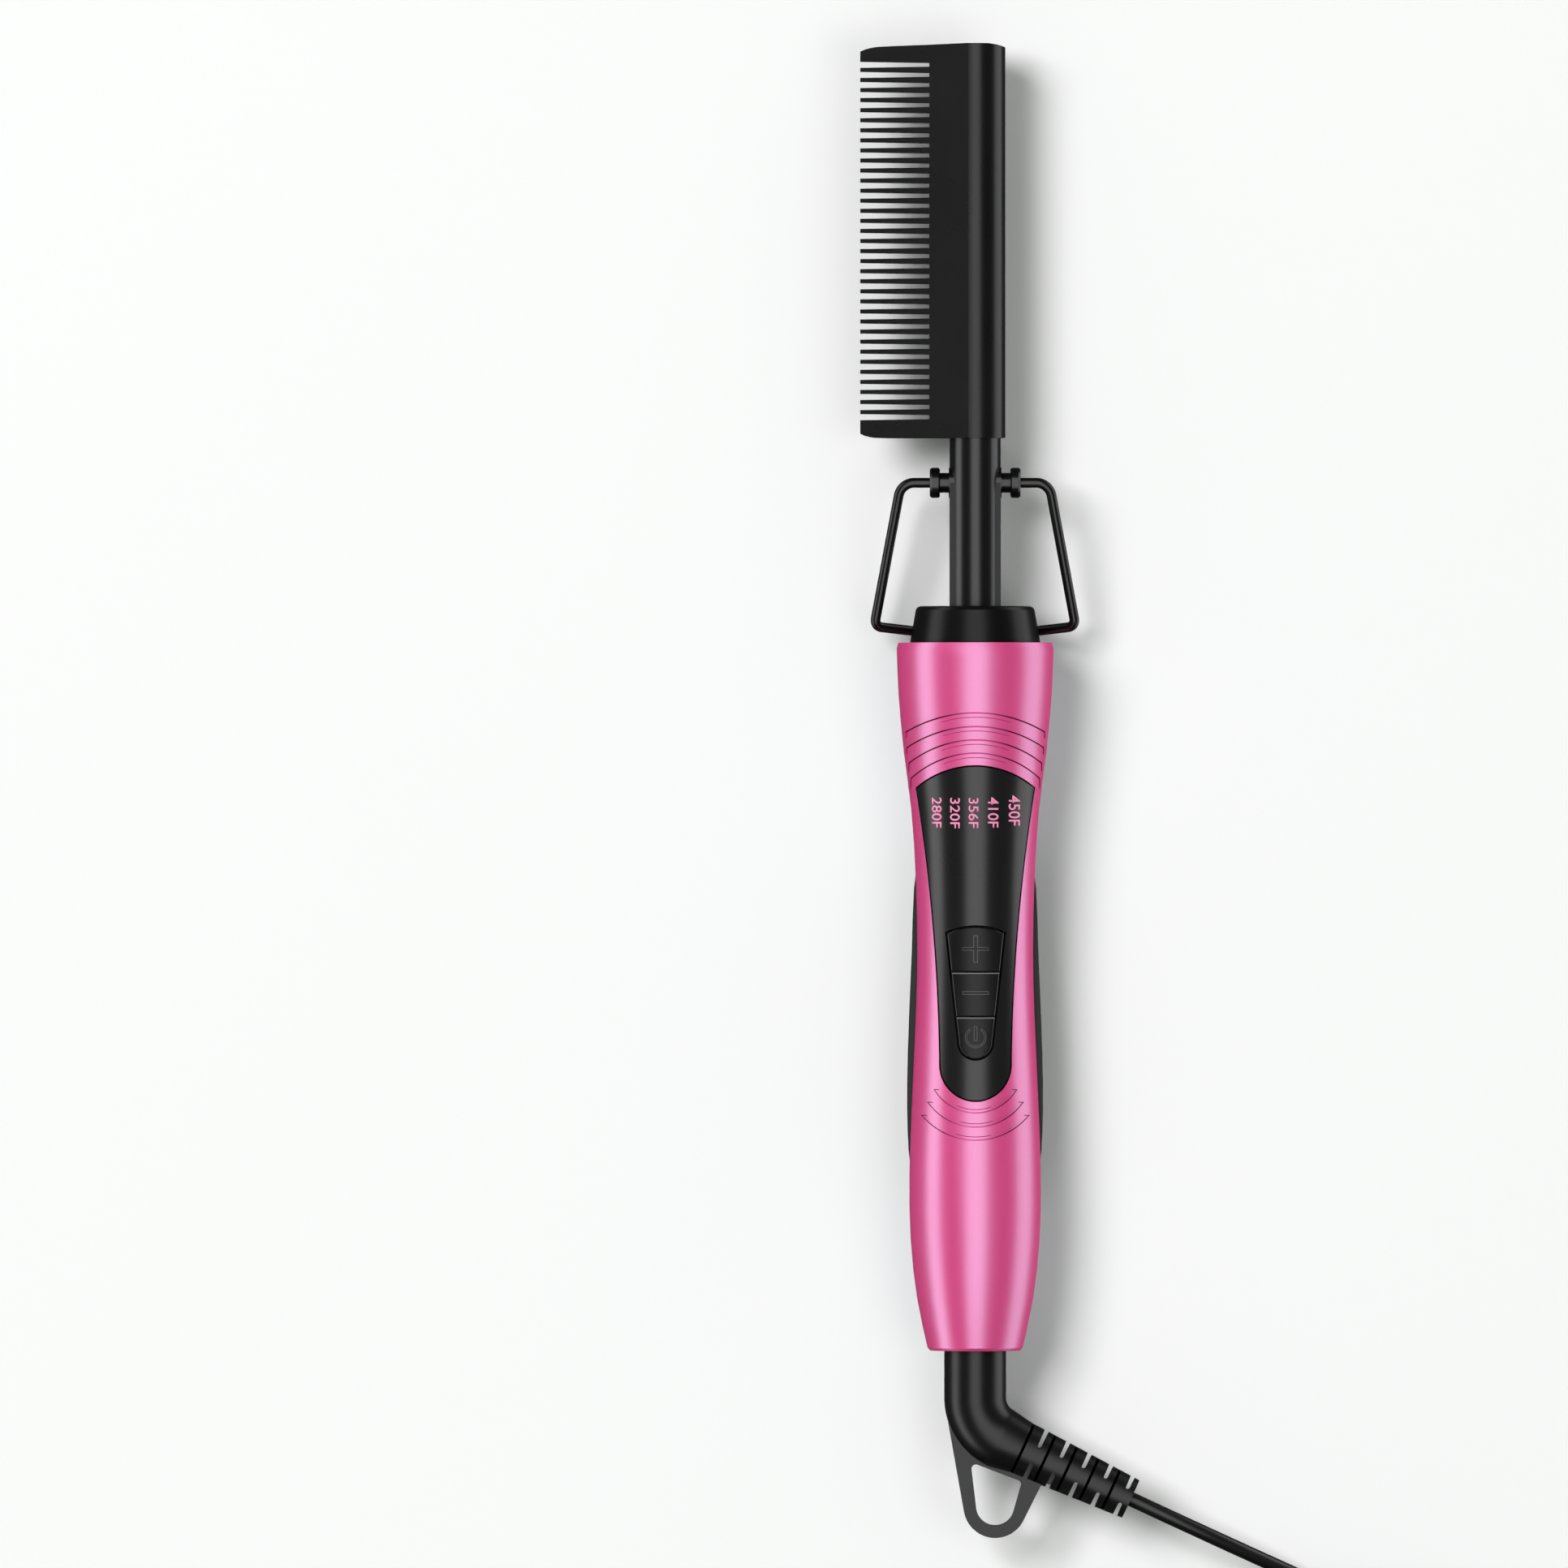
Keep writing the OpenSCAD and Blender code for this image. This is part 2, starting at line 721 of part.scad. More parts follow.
module triac() {
  under = board_top_z - board_thick;
  place() color("#2a2a2a") translate([-5, -30, under - 4.4]) {
    cube([10, 9, 4.4]);
    translate([0, 9, 0]) cube([10, 6, 1.3]);
    for (x = [2, 4.6, 7.2]) translate([x, -4, 2]) cube([0.8, 4, 0.6]);
    for (x = [2, 4.6, 7.2]) translate([x, -4, 2]) cube([0.8, 0.6, 2.4]);
  }
}

module film_capacitor() {
  place() color("#c9a227") translate([-6.5, -54, board_top_z - board_thick - 6]) cube([13, 6, 6]);
}

module smoothing_capacitor() {
  place() color("#303a55") translate([0, 0, board_top_z - board_thick - 3.15]) {
    along_y(-70) cylinder(h = 11, r = 3.15);
  }
}

module thermal_fuse() {
  place() color("silver") translate([-5.4, 0, board_top_z - board_thick - 1.8]) {
    along_y(-14.5) cylinder(h = 10, r = 1.8);
    for (y = [-15.9, -4.6]) {
      along_y(y) cylinder(h = 1.5, r = 0.4);
      translate([0, y < -10 ? y : y + 1.5, -0.4]) cylinder(h = 2.2, r = 0.4);
    }
  }
}

module supply_leads() {
  under = board_top_z - board_thick;
  place() color("#303030") for (side = [-1, 1]) wire([
    [side * 6.5, -76, under], [side * 6.5, -76, -3], [side * 6.5, -90.4, -3]
  ], [1], 0.7);
}

module brush_holder() {
  place() color("#b5894a") difference() {
    intersection() {
      handle_form(wall);
      slab(holder_y[0], holder_y[1]);
    }
    along_y(holder_y[0] - 1) cylinder(h = 5, r = rotor_pin_r + 0.06);
  }
}

module brush_springs() {
  place() color("gold") for (side = [0, 1]) mirror([side, 0, 0]) {
    reach = ring_ys[side] + 0.3;
    cube_between([ring_r + 0.12, reach, -1], [ring_r + 1.2, reach + 1.8, 1]);
    cube_between([ring_r + 0.9, reach, -1], [ring_r + 1.2, holder_y[0], 1]);
    cube_between([ring_r + 0.9, holder_y[0] - 0.4, -2], [ring_r + 4, holder_y[0], 2]);
  }
}

// ---- Swivel and strain relief ----

module swivel_rotor() {
  place() color("#d8d4c8") {
    along_y(rotor_flange_y[0]) cylinder(h = rotor_flange_y[1] - rotor_flange_y[0], r = rotor_flange_r);
    along_y(rotor_flange_y[0]) cylinder(h = rotor_stem_y - rotor_flange_y[0], r = rotor_stem_r);
    along_y(rotor_stem_y - 1) cylinder(h = rotor_pin_y - rotor_stem_y + 1, r = rotor_pin_r);
    along_y(rotor_flange_y[0] - 10) cylinder(h = 11, r = 3.5);
  }
}

module slip_rings() {
  place() color("gold") for (y = ring_ys) along_y(y) difference() {
    cylinder(h = ring_w, r = ring_r);
    translate([0, 0, -1]) cylinder(h = ring_w + 2, r = rotor_stem_r);
  }
}

// Draws along the strain relief's own axis: local X runs along it from the elbow's end
module along_relief() { translate(elbow_end) rotate([0, 0, elbow_turn - 90]) children(); }

module relief_body() {
  along_y(elbow_y) cylinder(h = rotor_flange_y[0] - elbow_y, r = elbow_r);
  translate([elbow_bend_r, elbow_y, 0]) rotate([0, 0, 180])
    rotate_extrude(angle = elbow_turn) translate([elbow_bend_r, 0]) circle(r = elbow_r);
  along_relief() rotate([0, 90, 0]) {
    cylinder(h = relief_start, r1 = elbow_r, r2 = relief_r[0]);
    translate([0, 0, relief_start]) cylinder(h = relief_len, r1 = relief_r[0], r2 = relief_r[1]);
  }
}

// Slots cut from both sides, which show daylight, and between them slots cut from front and back
module relief_slots() {
  along_relief() for (i = [0:relief_ribs - 1]) {
    s = relief_start + rib_pitch * i;
    for (side = [-1, 1]) {
      mirror([0, side < 0 ? 1 : 0, 0]) cube_between(
        [s + slot_first, web_w / 2 + side_slot_w / 2, -8],
        [s + slot_first + side_slot_w, 8, 8]
      );
      translate([s + slot_first + side_slot_w / 2, side * (web_w / 2 + side_slot_w / 2), -8])
        cylinder(h = 16, r = side_slot_w / 2);
      difference() {
        mirror([0, 0, side < 0 ? 1 : 0]) cube_between([s, -8, web_w / 2], [s + ring_slot_w, 8, 8]);
        translate([s - 1, 0, 0]) rotate([0, 90, 0]) cylinder(h = 3, r = core_r);
      }
    }
  }
}

function outer_tangent(a, ra, b, rb, side) = let(
    d = unit(b - a),
    n = side * [d[1], -d[0]],
    lean = asin((ra - rb) / norm(b - a)),
    m = cos(lean) * n + sin(lean) * d
  ) [a + ra * m, b + rb * m];

module loop_plan() {
  neck = [0, elbow_y];
  left = outer_tangent(neck, elbow_r, loop_c, loop_r, 1);
  right_n = [cos(loop_lean), -sin(loop_lean)];
  right = loop_c + loop_r * right_n;
  root = right + 9.6 * [sin(loop_lean), cos(loop_lean)];
  corner_a = [0.15, -139.2];
  corner_b = [8.5, -142.4];
  corner_r = 0.9;
  ab = outer_tangent(corner_a, corner_r, corner_b, corner_r, -1);
  bc = outer_tangent(corner_b, corner_r, loop_c, loop_hole_r, -1);
  ca = outer_tangent(loop_c, loop_hole_r, corner_a, corner_r, -1);
  difference() {
    union() {
      polygon([left[0], left[1], loop_c, right, root, [15.8, -142.6], [elbow_end[0], elbow_end[1]], neck]);
      translate(loop_c) circle(r = loop_r);
    }
    translate(root + [3.3, -1.6]) circle(r = 3.5);
    polygon(concat(ab, bc, ca));
    for (c = [corner_a, corner_b]) translate(c) circle(r = corner_r);
    translate(loop_c) circle(r = loop_hole_r);
  }
  // the loop's web closes the first slots beside it
  along_relief() polygon([[2, -4.6], [8.5, -4.6], [14.3, -4.3], [14.3, -0.5], [2, -0.5]]);
}

module strain_relief() {
  place() color("#202122") difference() {
    union() {
      difference() {
        relief_body();
        relief_slots();
      }
      linear_extrude(loop_thick, center = true) loop_plan();
    }
    along_y(rotor_flange_y[0] - 10) cylinder(h = 11, r = 3.5);
  }
}

// ---- Cord and plug ----

function on_floor(p, z) = [p[0], p[1], floor_z + z];

// Way of a loose cord from start along dir: its height is high where its share is 1 and low where it is 0
function cord_way(start, dir, run, high, low) = [
  for (p = run) on_floor(start + p[0] * dir, low + p[1] * (high - low))
];

module cord(way) { place() color("#1b1b1c") tube(way, cord_r, 8); }

module power_cord() { cord(cord_way(relief_end, relief_dir, cord_run, -floor_z, cord_r)); }

module coil_form() {
  translate(on_floor(coil_c, 0)) rotate_extrude() translate([coil_in_r, 0]) {
    translate([cord_r, 0]) square([coil_out_r - coil_in_r - cord_d, coil_h]);
    translate([0, cord_r]) square([coil_out_r - coil_in_r, coil_h - cord_d]);
    for (x = [cord_r, coil_out_r - coil_in_r - cord_r], y = [cord_r, coil_h - cord_r])
      translate([x, y]) circle(r = cord_r, $fn = 32);
  }
}

module cord_coil() { place() color("#1b1b1c") coil_form(); }

module cord_tail() { cord(cord_way(tail_start, -relief_dir, tail_run, coil_h - cord_r, plug_h / 2)); }

module cord_tie() {
  lo = [coil_in_r - tie_thick, -tie_w / 2, 0];
  hi = [coil_out_r + tie_thick, tie_w / 2, coil_h + tie_thick];
  place() color("#111111") difference() {
    translate(on_floor(coil_c, 0)) rotate([0, 0, tie_angle]) cube_between(lo, hi);
    coil_form();
  }
}

// Draws along the plug's own axis: local X runs from the cord towards the blades
module along_plug() {
  translate(on_floor(tail_start - gland_start * relief_dir, plug_h / 2))
    rotate([0, 0, elbow_turn + 90]) children();
}

// Slots that let the gland bend, cut in turn from its two faces and from its sides
module gland_cuts() {
  for (i = [0:gland_slots - 1], side = [0, 180]) translate([3.6 + 2.5 * i, 0, 0])
    rotate([90 * (i % 2) + side, 0, 0]) cube_between([0, -6, 1.7], [0.9, 6, 6]);
}

// Grooves for the fingers, across both faces
module grip_cuts(face) {
  for (i = [0:grip_grooves - 1], side = [0, 180]) rotate([side, 0, 0])
    translate([gland_len + 9 + 2.4 * i, 0, face - 0.6]) {
      cube_between([0, -7.4, 0], [1.2, 7.4, 2]);
      for (y = [-7.4, 7.4]) translate([0.6, y, 0]) cylinder(h = 2, r = 0.6);
    }
}

module plug_body() {
  nose = gland_len + plug_len;
  side = plug_w / 2;
  face = plug_h / 2;
  place() color("#1e1e1f") along_plug() difference() {
    union() {
      rotate([0, 90, 0]) cylinder(h = gland_len + 1, r1 = 2.3, r2 = 4.4);
      intersection() {
        linear_extrude(plug_h, center = true) polygon([
          [gland_len, plug_back_w / 2], [gland_len + 9, side - 1], [nose - 5, side], [nose, side],
          [nose, -side], [nose - 5, -side], [gland_len + 9, 1 - side], [gland_len, -plug_back_w / 2]
        ]);
        rotate([90, 0, 0]) linear_extrude(plug_w, center = true) polygon([
          [gland_len, 4.6], [gland_len + 7, face], [nose - 1, face], [nose, face - 1],
          [nose, 1 - face], [nose - 1, -face], [gland_len + 7, -face], [gland_len, -4.6]
        ]);
      }
    }
    gland_cuts();
    grip_cuts(face);
  }
}

module plug_blades() {
  nose = gland_len + plug_len;
  len = blade_size[0];
  side = blade_size[2] / 2;
  place() color("silver") along_plug() for (y = [-blade_gap / 2, blade_gap / 2])
    translate([nose, y, 0]) rotate([90, 0, 0]) linear_extrude(blade_size[1], center = true) difference() {
      polygon([
        [0, -side], [0, side], [len - blade_tip, side], [len, side - blade_tip],
        [len, blade_tip - side], [len - blade_tip, -side]
      ]);
      translate([blade_hole[0], 0]) circle(d = blade_hole[1]);
    }
}

comb_head();
heater_rod();
thermistor();
heater_leads();
neck_tube();
stand_bracket();
pivot_studs();
stand_bail();
collar();
front_shell();
rear_shell();
rear_grip();
control_panel();
key_plus();
key_minus();
key_power();
plunger_plus();
plunger_minus();
plunger_power();
tact_switches();
circuit_board();
indicator_leds();
control_chip();
triac();
film_capacitor();
smoothing_capacitor();
thermal_fuse();
supply_leads();
brush_holder();
brush_springs();
handle_screws();
swivel_rotor();
slip_rings();
strain_relief();
power_cord();
cord_coil();
cord_tail();
cord_tie();
plug_body();
plug_blades();
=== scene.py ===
import math
from contextlib import contextmanager

import bpy
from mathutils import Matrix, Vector


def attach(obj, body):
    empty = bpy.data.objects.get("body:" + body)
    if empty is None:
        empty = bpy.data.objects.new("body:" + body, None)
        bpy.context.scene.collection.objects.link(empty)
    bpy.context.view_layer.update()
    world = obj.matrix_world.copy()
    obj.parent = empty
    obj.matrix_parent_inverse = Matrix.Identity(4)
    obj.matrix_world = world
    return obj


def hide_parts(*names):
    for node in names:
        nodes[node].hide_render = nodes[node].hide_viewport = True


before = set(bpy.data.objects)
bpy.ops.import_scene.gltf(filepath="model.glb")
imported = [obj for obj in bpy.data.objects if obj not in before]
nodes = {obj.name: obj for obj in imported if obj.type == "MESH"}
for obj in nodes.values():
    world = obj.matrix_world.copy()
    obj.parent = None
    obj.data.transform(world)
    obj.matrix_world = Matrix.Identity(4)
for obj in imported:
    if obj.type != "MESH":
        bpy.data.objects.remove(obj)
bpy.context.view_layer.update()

mm = 0.001
axisX, axisZ = -5.06 * mm, 15.85 * mm  # where the handle's own axis runs
weld = 0.002 * mm  # points closer than this are merged


def onAxis(x, y, z=0.0):
    # a point given in millimetres from the handle's axis
    return Vector((axisX + x * mm, y * mm, axisZ + z * mm))


def deselectAll():
    if bpy.context.object and bpy.context.object.mode != "OBJECT":
        bpy.ops.object.mode_set(mode="OBJECT")
    bpy.ops.object.select_all(action="DESELECT")


def makeActive(piece):
    deselectAll()
    piece.select_set(True)
    bpy.context.view_layer.objects.active = piece
    return piece


def named(name):
    piece = bpy.context.object
    piece.name = piece.data.name = name
    return piece


def applyPlace(piece):
    makeActive(piece)
    bpy.ops.object.transform_apply(location=True, rotation=True, scale=True)


def addModifier(piece, kind, **settings):
    makeActive(piece)
    bpy.ops.object.modifier_add(type=kind)
    modifier = piece.modifiers[-1]
    for key, value in settings.items():
        setattr(modifier, key, value)
    return modifier


def applied(piece, kind, **settings):
    modifier = addModifier(piece, kind, **settings)
    bpy.ops.object.modifier_apply(modifier=modifier.name)


@contextmanager
def editing(piece):
    # edit mode with the whole piece selected
    makeActive(piece)
    bpy.ops.object.mode_set(mode="EDIT")
    bpy.ops.mesh.select_all(action="SELECT")
    yield
    bpy.ops.object.mode_set(mode="OBJECT")


def smooth(piece, angle):
    makeActive(piece)
    bpy.ops.object.shade_smooth_by_angle(angle=math.radians(angle))


def joinAll(pieces, name):
    deselectAll()
    for piece in pieces:
        piece.select_set(True)
    bpy.context.view_layer.objects.active = pieces[0]
    bpy.ops.object.join()
    return named(name)


def chain(name, points):
    # a row of edges through the points
    deselectAll()
    bpy.ops.mesh.primitive_plane_add(size=1, location=(0, 0, 0))
    piece = named(name)
    bpy.ops.object.mode_set(mode="EDIT")
    bpy.ops.mesh.select_mode(type="VERT")
    bpy.ops.mesh.select_all(action="SELECT")
    bpy.ops.mesh.merge(type="CENTER")
    bpy.ops.transform.translate(value=points[0])
    for a, b in zip(points, points[1:]):
        bpy.ops.mesh.extrude_vertices_move(TRANSFORM_OT_translate={"value": b - a})
    bpy.ops.object.mode_set(mode="OBJECT")
    return piece


def roundCorner(piece, place, radius, turn, segments):
    # rounds a corner of a chain that turns through an angle given in degrees
    reach = radius * math.tan(math.radians(turn / 2))
    with selecting(piece, "VERT", lambda p: (p - place).length < 10 * weld):
        bpy.ops.mesh.bevel(offset=reach * mm, segments=segments, affect="VERTICES", clamp_overlap=False)


def workCopy(nodeName, name):
    # a merged copy of a CAD solid, to be worked on
    piece = bpy.data.objects.new(name, nodes[nodeName].data.copy())
    piece.data.name = name
    bpy.context.scene.collection.objects.link(piece)
    with editing(piece):
        bpy.ops.mesh.remove_doubles(threshold=weld)
        bpy.ops.mesh.customdata_custom_splitnormals_clear()
    return piece


def bevelSharp(piece, sharpness, test, width, segments, clamp=False):
    # rounds or blunts the sharp edges whose two ends pass the test
    makeActive(piece)
    bpy.ops.object.mode_set(mode="EDIT")
    bpy.ops.mesh.select_mode(type="EDGE")
    bpy.ops.mesh.select_all(action="DESELECT")
    bpy.ops.mesh.edges_select_sharp(sharpness=math.radians(sharpness))
    bpy.ops.object.mode_set(mode="OBJECT")
    mesh = piece.data
    chosen = [edge.select and all(test(mesh.vertices[i].co) for i in edge.vertices) for edge in mesh.edges]
    for face in mesh.polygons:
        face.select = False
    for vertex in mesh.vertices:
        vertex.select = False
    for edge, select in zip(mesh.edges, chosen):
        edge.select = select
    bpy.ops.object.mode_set(mode="EDIT")
    bpy.ops.mesh.bevel(offset=width * mm, segments=segments, affect="EDGES", clamp_overlap=clamp)
    bpy.ops.object.mode_set(mode="OBJECT")


@contextmanager
def selecting(piece, kind, test):
    # edit mode with only those faces, edges or vertices selected that pass the test
    makeActive(piece)
    bpy.ops.object.mode_set(mode="EDIT")
    bpy.ops.mesh.select_mode(type=kind)
    bpy.ops.mesh.select_all(action="DESELECT")
    bpy.ops.object.mode_set(mode="OBJECT")
    mesh = piece.data
    if kind == "FACE":
        for face in mesh.polygons:
            face.select = test(face.center, face.normal)
    elif kind == "EDGE":
        for edge in mesh.edges:
            a, b = (mesh.vertices[i].co for i in edge.vertices)
            edge.select = test(a, b)
    else:
        for vertex in mesh.vertices:
            vertex.select = test(vertex.co)
    bpy.ops.object.mode_set(mode="EDIT")
    yield
    bpy.ops.object.mode_set(mode="OBJECT")


cameraSetup = {
    "fieldWidth": 0.322,
    "distance": 5.0,
    "centreX": axisX - 39.25 * mm,
    "centreY": 1.4 * mm,
    "sensor": 36.0,
}


def makeCamera():
    c = cameraSetup
    place = (c["centreX"], c["centreY"], axisZ + c["distance"])
    bpy.ops.object.camera_add(location=place, rotation=(0, 0, 0))
    camera = bpy.context.object
    camera.name = "viewCamera"
    camera.data.sensor_width = c["sensor"]
    camera.data.lens = c["sensor"] * c["distance"] / c["fieldWidth"]
    camera.data.clip_start = 0.02
    camera.data.clip_end = 30
    camera.data.dof.use_dof = False
    bpy.context.scene.camera = camera


deselectAll()
makeCamera()
print("camera ready")


cordSetup = {
    "radius": 1.5,
    "length": 1.775,
    "exit": (31.93, -145.41),
    "turnOfElbow": 65,  # degrees from the handle's axis to the cord
    "runToCoil": 62,
    "fallToFloor": [(0, 1), (6, 1), (14, 0.94), (22, 0.79), (30, 0.56), (38, 0.32), (46, 0.13), (54, 0.03)],
    "radii": [22, 19, 16, 13],
    "rows": 4,
    "turns": 15.5,
    "pointsPerTurn": 24,
    "climb": (0.38, 0.68),  # part of a turn in which the cord climbs to the next row
    "shift": (0.68, 1.0),   # part of a turn in which it moves over to the next radius
    "tail": [(5, 0.9), (10, 0.55), (15, 0.18), (20, 0.03), (23, 0)],
    "plugHeight": 6,
}


def easeStep(t):
    t = min(max(t, 0.0), 1.0)
    return t * t * (3 - 2 * t)


turnOfElbow = math.radians(cordSetup["turnOfElbow"])
ahead = Vector((math.sin(turnOfElbow), -math.cos(turnOfElbow), 0))  # the way that the cord leaves the elbow
side = Vector((-ahead.y, ahead.x, 0))


def cordPoints():
    c = cordSetup
    r = c["radius"]
    start = onAxis(*c["exit"])
    points = []
    # down to the floor
    for s, share in c["fallToFloor"]:
        p = start + ahead * s * mm
        p.z = r * mm + share * (start.z - r * mm)
        points.append(p)
    # round the coil, inwards in one row and outwards in the next
    outward = c["radii"]
    middle = start + ahead * c["runToCoil"] * mm - side * outward[0] * mm
    for i in range(int(c["turns"] * c["pointsPerTurn"]) + 1):
        t = i / c["pointsPerTurn"]
        k = min(int(t), int(c["turns"]))
        u = t - k
        row, column = divmod(k, len(outward))
        order = outward if row % 2 == 0 else outward[::-1]
        radius = order[column]
        if column < len(order) - 1:
            move = easeStep((u - c["shift"][0]) / (c["shift"][1] - c["shift"][0]))
            radius += (order[column + 1] - radius) * move
        level = row
        if column == len(order) - 1 and row < c["rows"] - 1:
            level += easeStep((u - c["climb"][0]) / (c["climb"][1] - c["climb"][0]))
        angle = turnOfElbow - math.tau * t
        p = middle + Vector((math.cos(angle), math.sin(angle), 0)) * radius * mm
        p.z = (r + 2 * r * level) * mm
        points.append(p)
    # back beside the coil to the plug
    end, top = points[-1].copy(), points[-1].z
    for s, share in c["tail"]:
        p = end - ahead * s * mm
        p.z = c["plugHeight"] * mm + share * (top - c["plugHeight"] * mm)
        points.append(p)
    return points


def makeCord():
    points = cordPoints()
    line = bpy.data.curves.new("powerLead", "CURVE")
    line.dimensions = "3D"
    spline = line.splines.new("BEZIER")
    spline.bezier_points.add(len(points) - 1)
    for knot, p in zip(spline.bezier_points, points):
        knot.co = p
        knot.handle_left_type = knot.handle_right_type = "AUTO"
        knot.radius = cordSetup["radius"] * mm  # the curve's own box grows by this value
    spline.resolution_u = 4
    line.bevel_depth = 1.0
    line.bevel_resolution = 4
    line.use_fill_caps = True
    lead = bpy.data.objects.new("powerLead", line)
    bpy.context.scene.collection.objects.link(lead)
    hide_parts("power_cord", "cord_coil", "cord_tail")
    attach(lead, "swivel")
    return lead, points


tieSetup = {
    "coil": (78.818, -191.5525),
    "turn": 335,
    "width": 7.0,
    "inner": 10.9,
    "outer": 24.1,
    "height": 12.6,
    "corner": 1.8,
    "cornerSteps": 5,
    "edgeRound": 0.12,
    "thickness": 0.55,
    "tab": {"foot": 4.0, "end": 20.5},
}


def makeTie():
    c = tieSetup
    inner, outer, top, half = c["inner"], c["outer"], c["height"], c["width"] / 2
    layers = []
    loop = [(inner, 0), (outer, 0), (outer, top), (inner, top)]
    over = c["thickness"]
    tab = [(inner - over, c["tab"]["foot"]), (inner - over, top + over), (c["tab"]["end"], top + over)]
    for name, way, closed in (("tieLoop", loop, True), ("tieTab", tab, False)):
        points = [Vector((x * mm, half * mm, z * mm)) for x, z in way]
        strap = chain(name, points)
        if closed:
            with editing(strap):
                bpy.ops.mesh.edge_face_add()
                bpy.ops.mesh.delete(type="ONLY_FACE")
        radius = c["corner"] + (0 if closed else over)
        for place in points if closed else points[1:-1]:
            roundCorner(strap, place, radius, 90, c["cornerSteps"])
        with editing(strap):
            bpy.ops.mesh.extrude_edges_move(TRANSFORM_OT_translate={"value": (0, -2 * half * mm, 0)})
            bpy.ops.mesh.select_all(action="SELECT")
            bpy.ops.mesh.normals_make_consistent(inside=False)
        middle = Vector(((inner + outer) / 2 * mm, 0, top / 2 * mm))
        if (strap.data.polygons[0].center - middle).dot(strap.data.polygons[0].normal) < 0:
            strap.data.flip_normals()
        applied(strap, "SOLIDIFY", thickness=over * mm, offset=-1.0)
        applied(strap, "BEVEL", width=c["edgeRound"] * mm, segments=2, limit_method="ANGLE",
                angle_limit=math.radians(50))
        layers.append(strap)
    tie = joinAll(layers, "cordTie")
    tie.rotation_euler = (0, 0, math.radians(c["turn"]))
    tie.location = onAxis(*c["coil"])
    tie.location.z = 0
    applyPlace(tie)
    smooth(tie, 40)
    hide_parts("cord_tie")
    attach(tie, "swivel")
    return tie


plugSetup = {
    "gland": (51.394, -203.039),
    "bodyFrom": 13.9,
    "round": 0.55,
    "faceHalf": 6.0,
    "glandRadius": 5.0,
    # the finger grooves, which stay sharp
    "grip": {"from": 22.5, "to": 35.0, "half": 8.3, "depth": 0.9},
}


def makePlug():
    c, grip = plugSetup, plugSetup["grip"]
    start = onAxis(*c["gland"])
    plug = workCopy("plug_body", "plugBody")

    def onEdge(p):
        along = (start - p).dot(ahead) / mm
        aside = abs((p - start).cross(ahead).z) / mm
        up = abs(p.z / mm - c["faceHalf"])
        deep = c["faceHalf"] - grip["depth"]
        inGrip = aside < grip["half"] and up > deep and grip["from"] < along < grip["to"]
        return along > c["bodyFrom"] and not inGrip and math.hypot(aside, up) > c["glandRadius"]

    bevelSharp(plug, 25, onEdge, c["round"], 3, clamp=True)
    smooth(plug, 35)
    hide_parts("plug_body")
    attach(plug, "swivel")
    return plug


lead, leadPoints = makeCord()
tie = makeTie()
plug = makePlug()
print("cord ready")


def addNode(tree, kind, values={}, **settings):
    # a node with a link or a plain value on each named socket
    node = tree.nodes.new(kind)
    for key, value in settings.items():
        setattr(node, key, value)
    for label, value in values.items():
        socket = node.inputs[label]
        if isinstance(value, bpy.types.NodeSocket):
            tree.links.new(value, socket)
        else:
            socket.default_value = (*value, 1) if socket.type == "RGBA" else value
    return node


def newGroup(name, inputs):
    # every effect puts out a colour, a roughness and a normal
    group = bpy.data.node_groups.new(name, "ShaderNodeTree")
    for label, value in inputs.items():
        isColor = isinstance(value, tuple)
        socket = group.interface.new_socket(
            label, in_out="INPUT", socket_type="NodeSocketColor" if isColor else "NodeSocketFloat")
        socket.default_value = (*value, 1) if isColor else value
    for label, kind in (("Color", "Color"), ("Roughness", "Float"), ("Normal", "Vector")):
        group.interface.new_socket(label, in_out="OUTPUT", socket_type="NodeSocket" + kind)
    return group, group.nodes.new("NodeGroupInput").outputs


def finishGroup(group, color, roughness, normal):
    addNode(group, "NodeGroupOutput", {"Color": color, "Roughness": roughness, "Normal": normal})
    return group


def mathNode(tree, operation, a, b, clamp=False):
    return addNode(tree, "ShaderNodeMath", {0: a, 1: b}, operation=operation, use_clamp=clamp).outputs[0]


def noiseNode(tree, vector, scale, detail, rough):
    return addNode(tree, "ShaderNodeTexNoise", {"Vector": vector, "Scale": scale, "Detail": detail,
                                                "Roughness": rough}).outputs["Fac"]


def bumpNode(tree, strength, height, distance):
    return addNode(tree, "ShaderNodeBump", {"Strength": strength, "Height": height,
                                            "Distance": distance}).outputs["Normal"]


def mixedColor(tree, factor, a, b):
    node = addNode(tree, "ShaderNodeMix", {"Factor": factor, "A": a, "B": b}, data_type="RGBA")
    return node.outputs["Result"]


def patternPlace(tree, scale=(1, 1, 1), turn=0):
    place = addNode(tree, "ShaderNodeTexCoord").outputs["Object"]
    rotation = (math.radians(turn), math.radians(turn), 0)
    node = addNode(tree, "ShaderNodeMapping", {"Vector": place, "Scale": scale, "Rotation": rotation})
    return node.outputs["Vector"]


def aboutMiddle(tree, mask, amount, base, clamp=False):
    # the mask swings about 0.5, and the result swings about the base
    swing = mathNode(tree, "MULTIPLY", mathNode(tree, "SUBTRACT", mask, 0.5), amount)
    return mathNode(tree, "ADD", swing, base, clamp)


def shadedColor(tree, color, amount, mask):
    # brightens and darkens a colour by the mask
    value = aboutMiddle(tree, mask, amount, 1.0)
    return addNode(tree, "ShaderNodeHueSaturation", {"Value": value, "Color": color}).outputs["Color"]


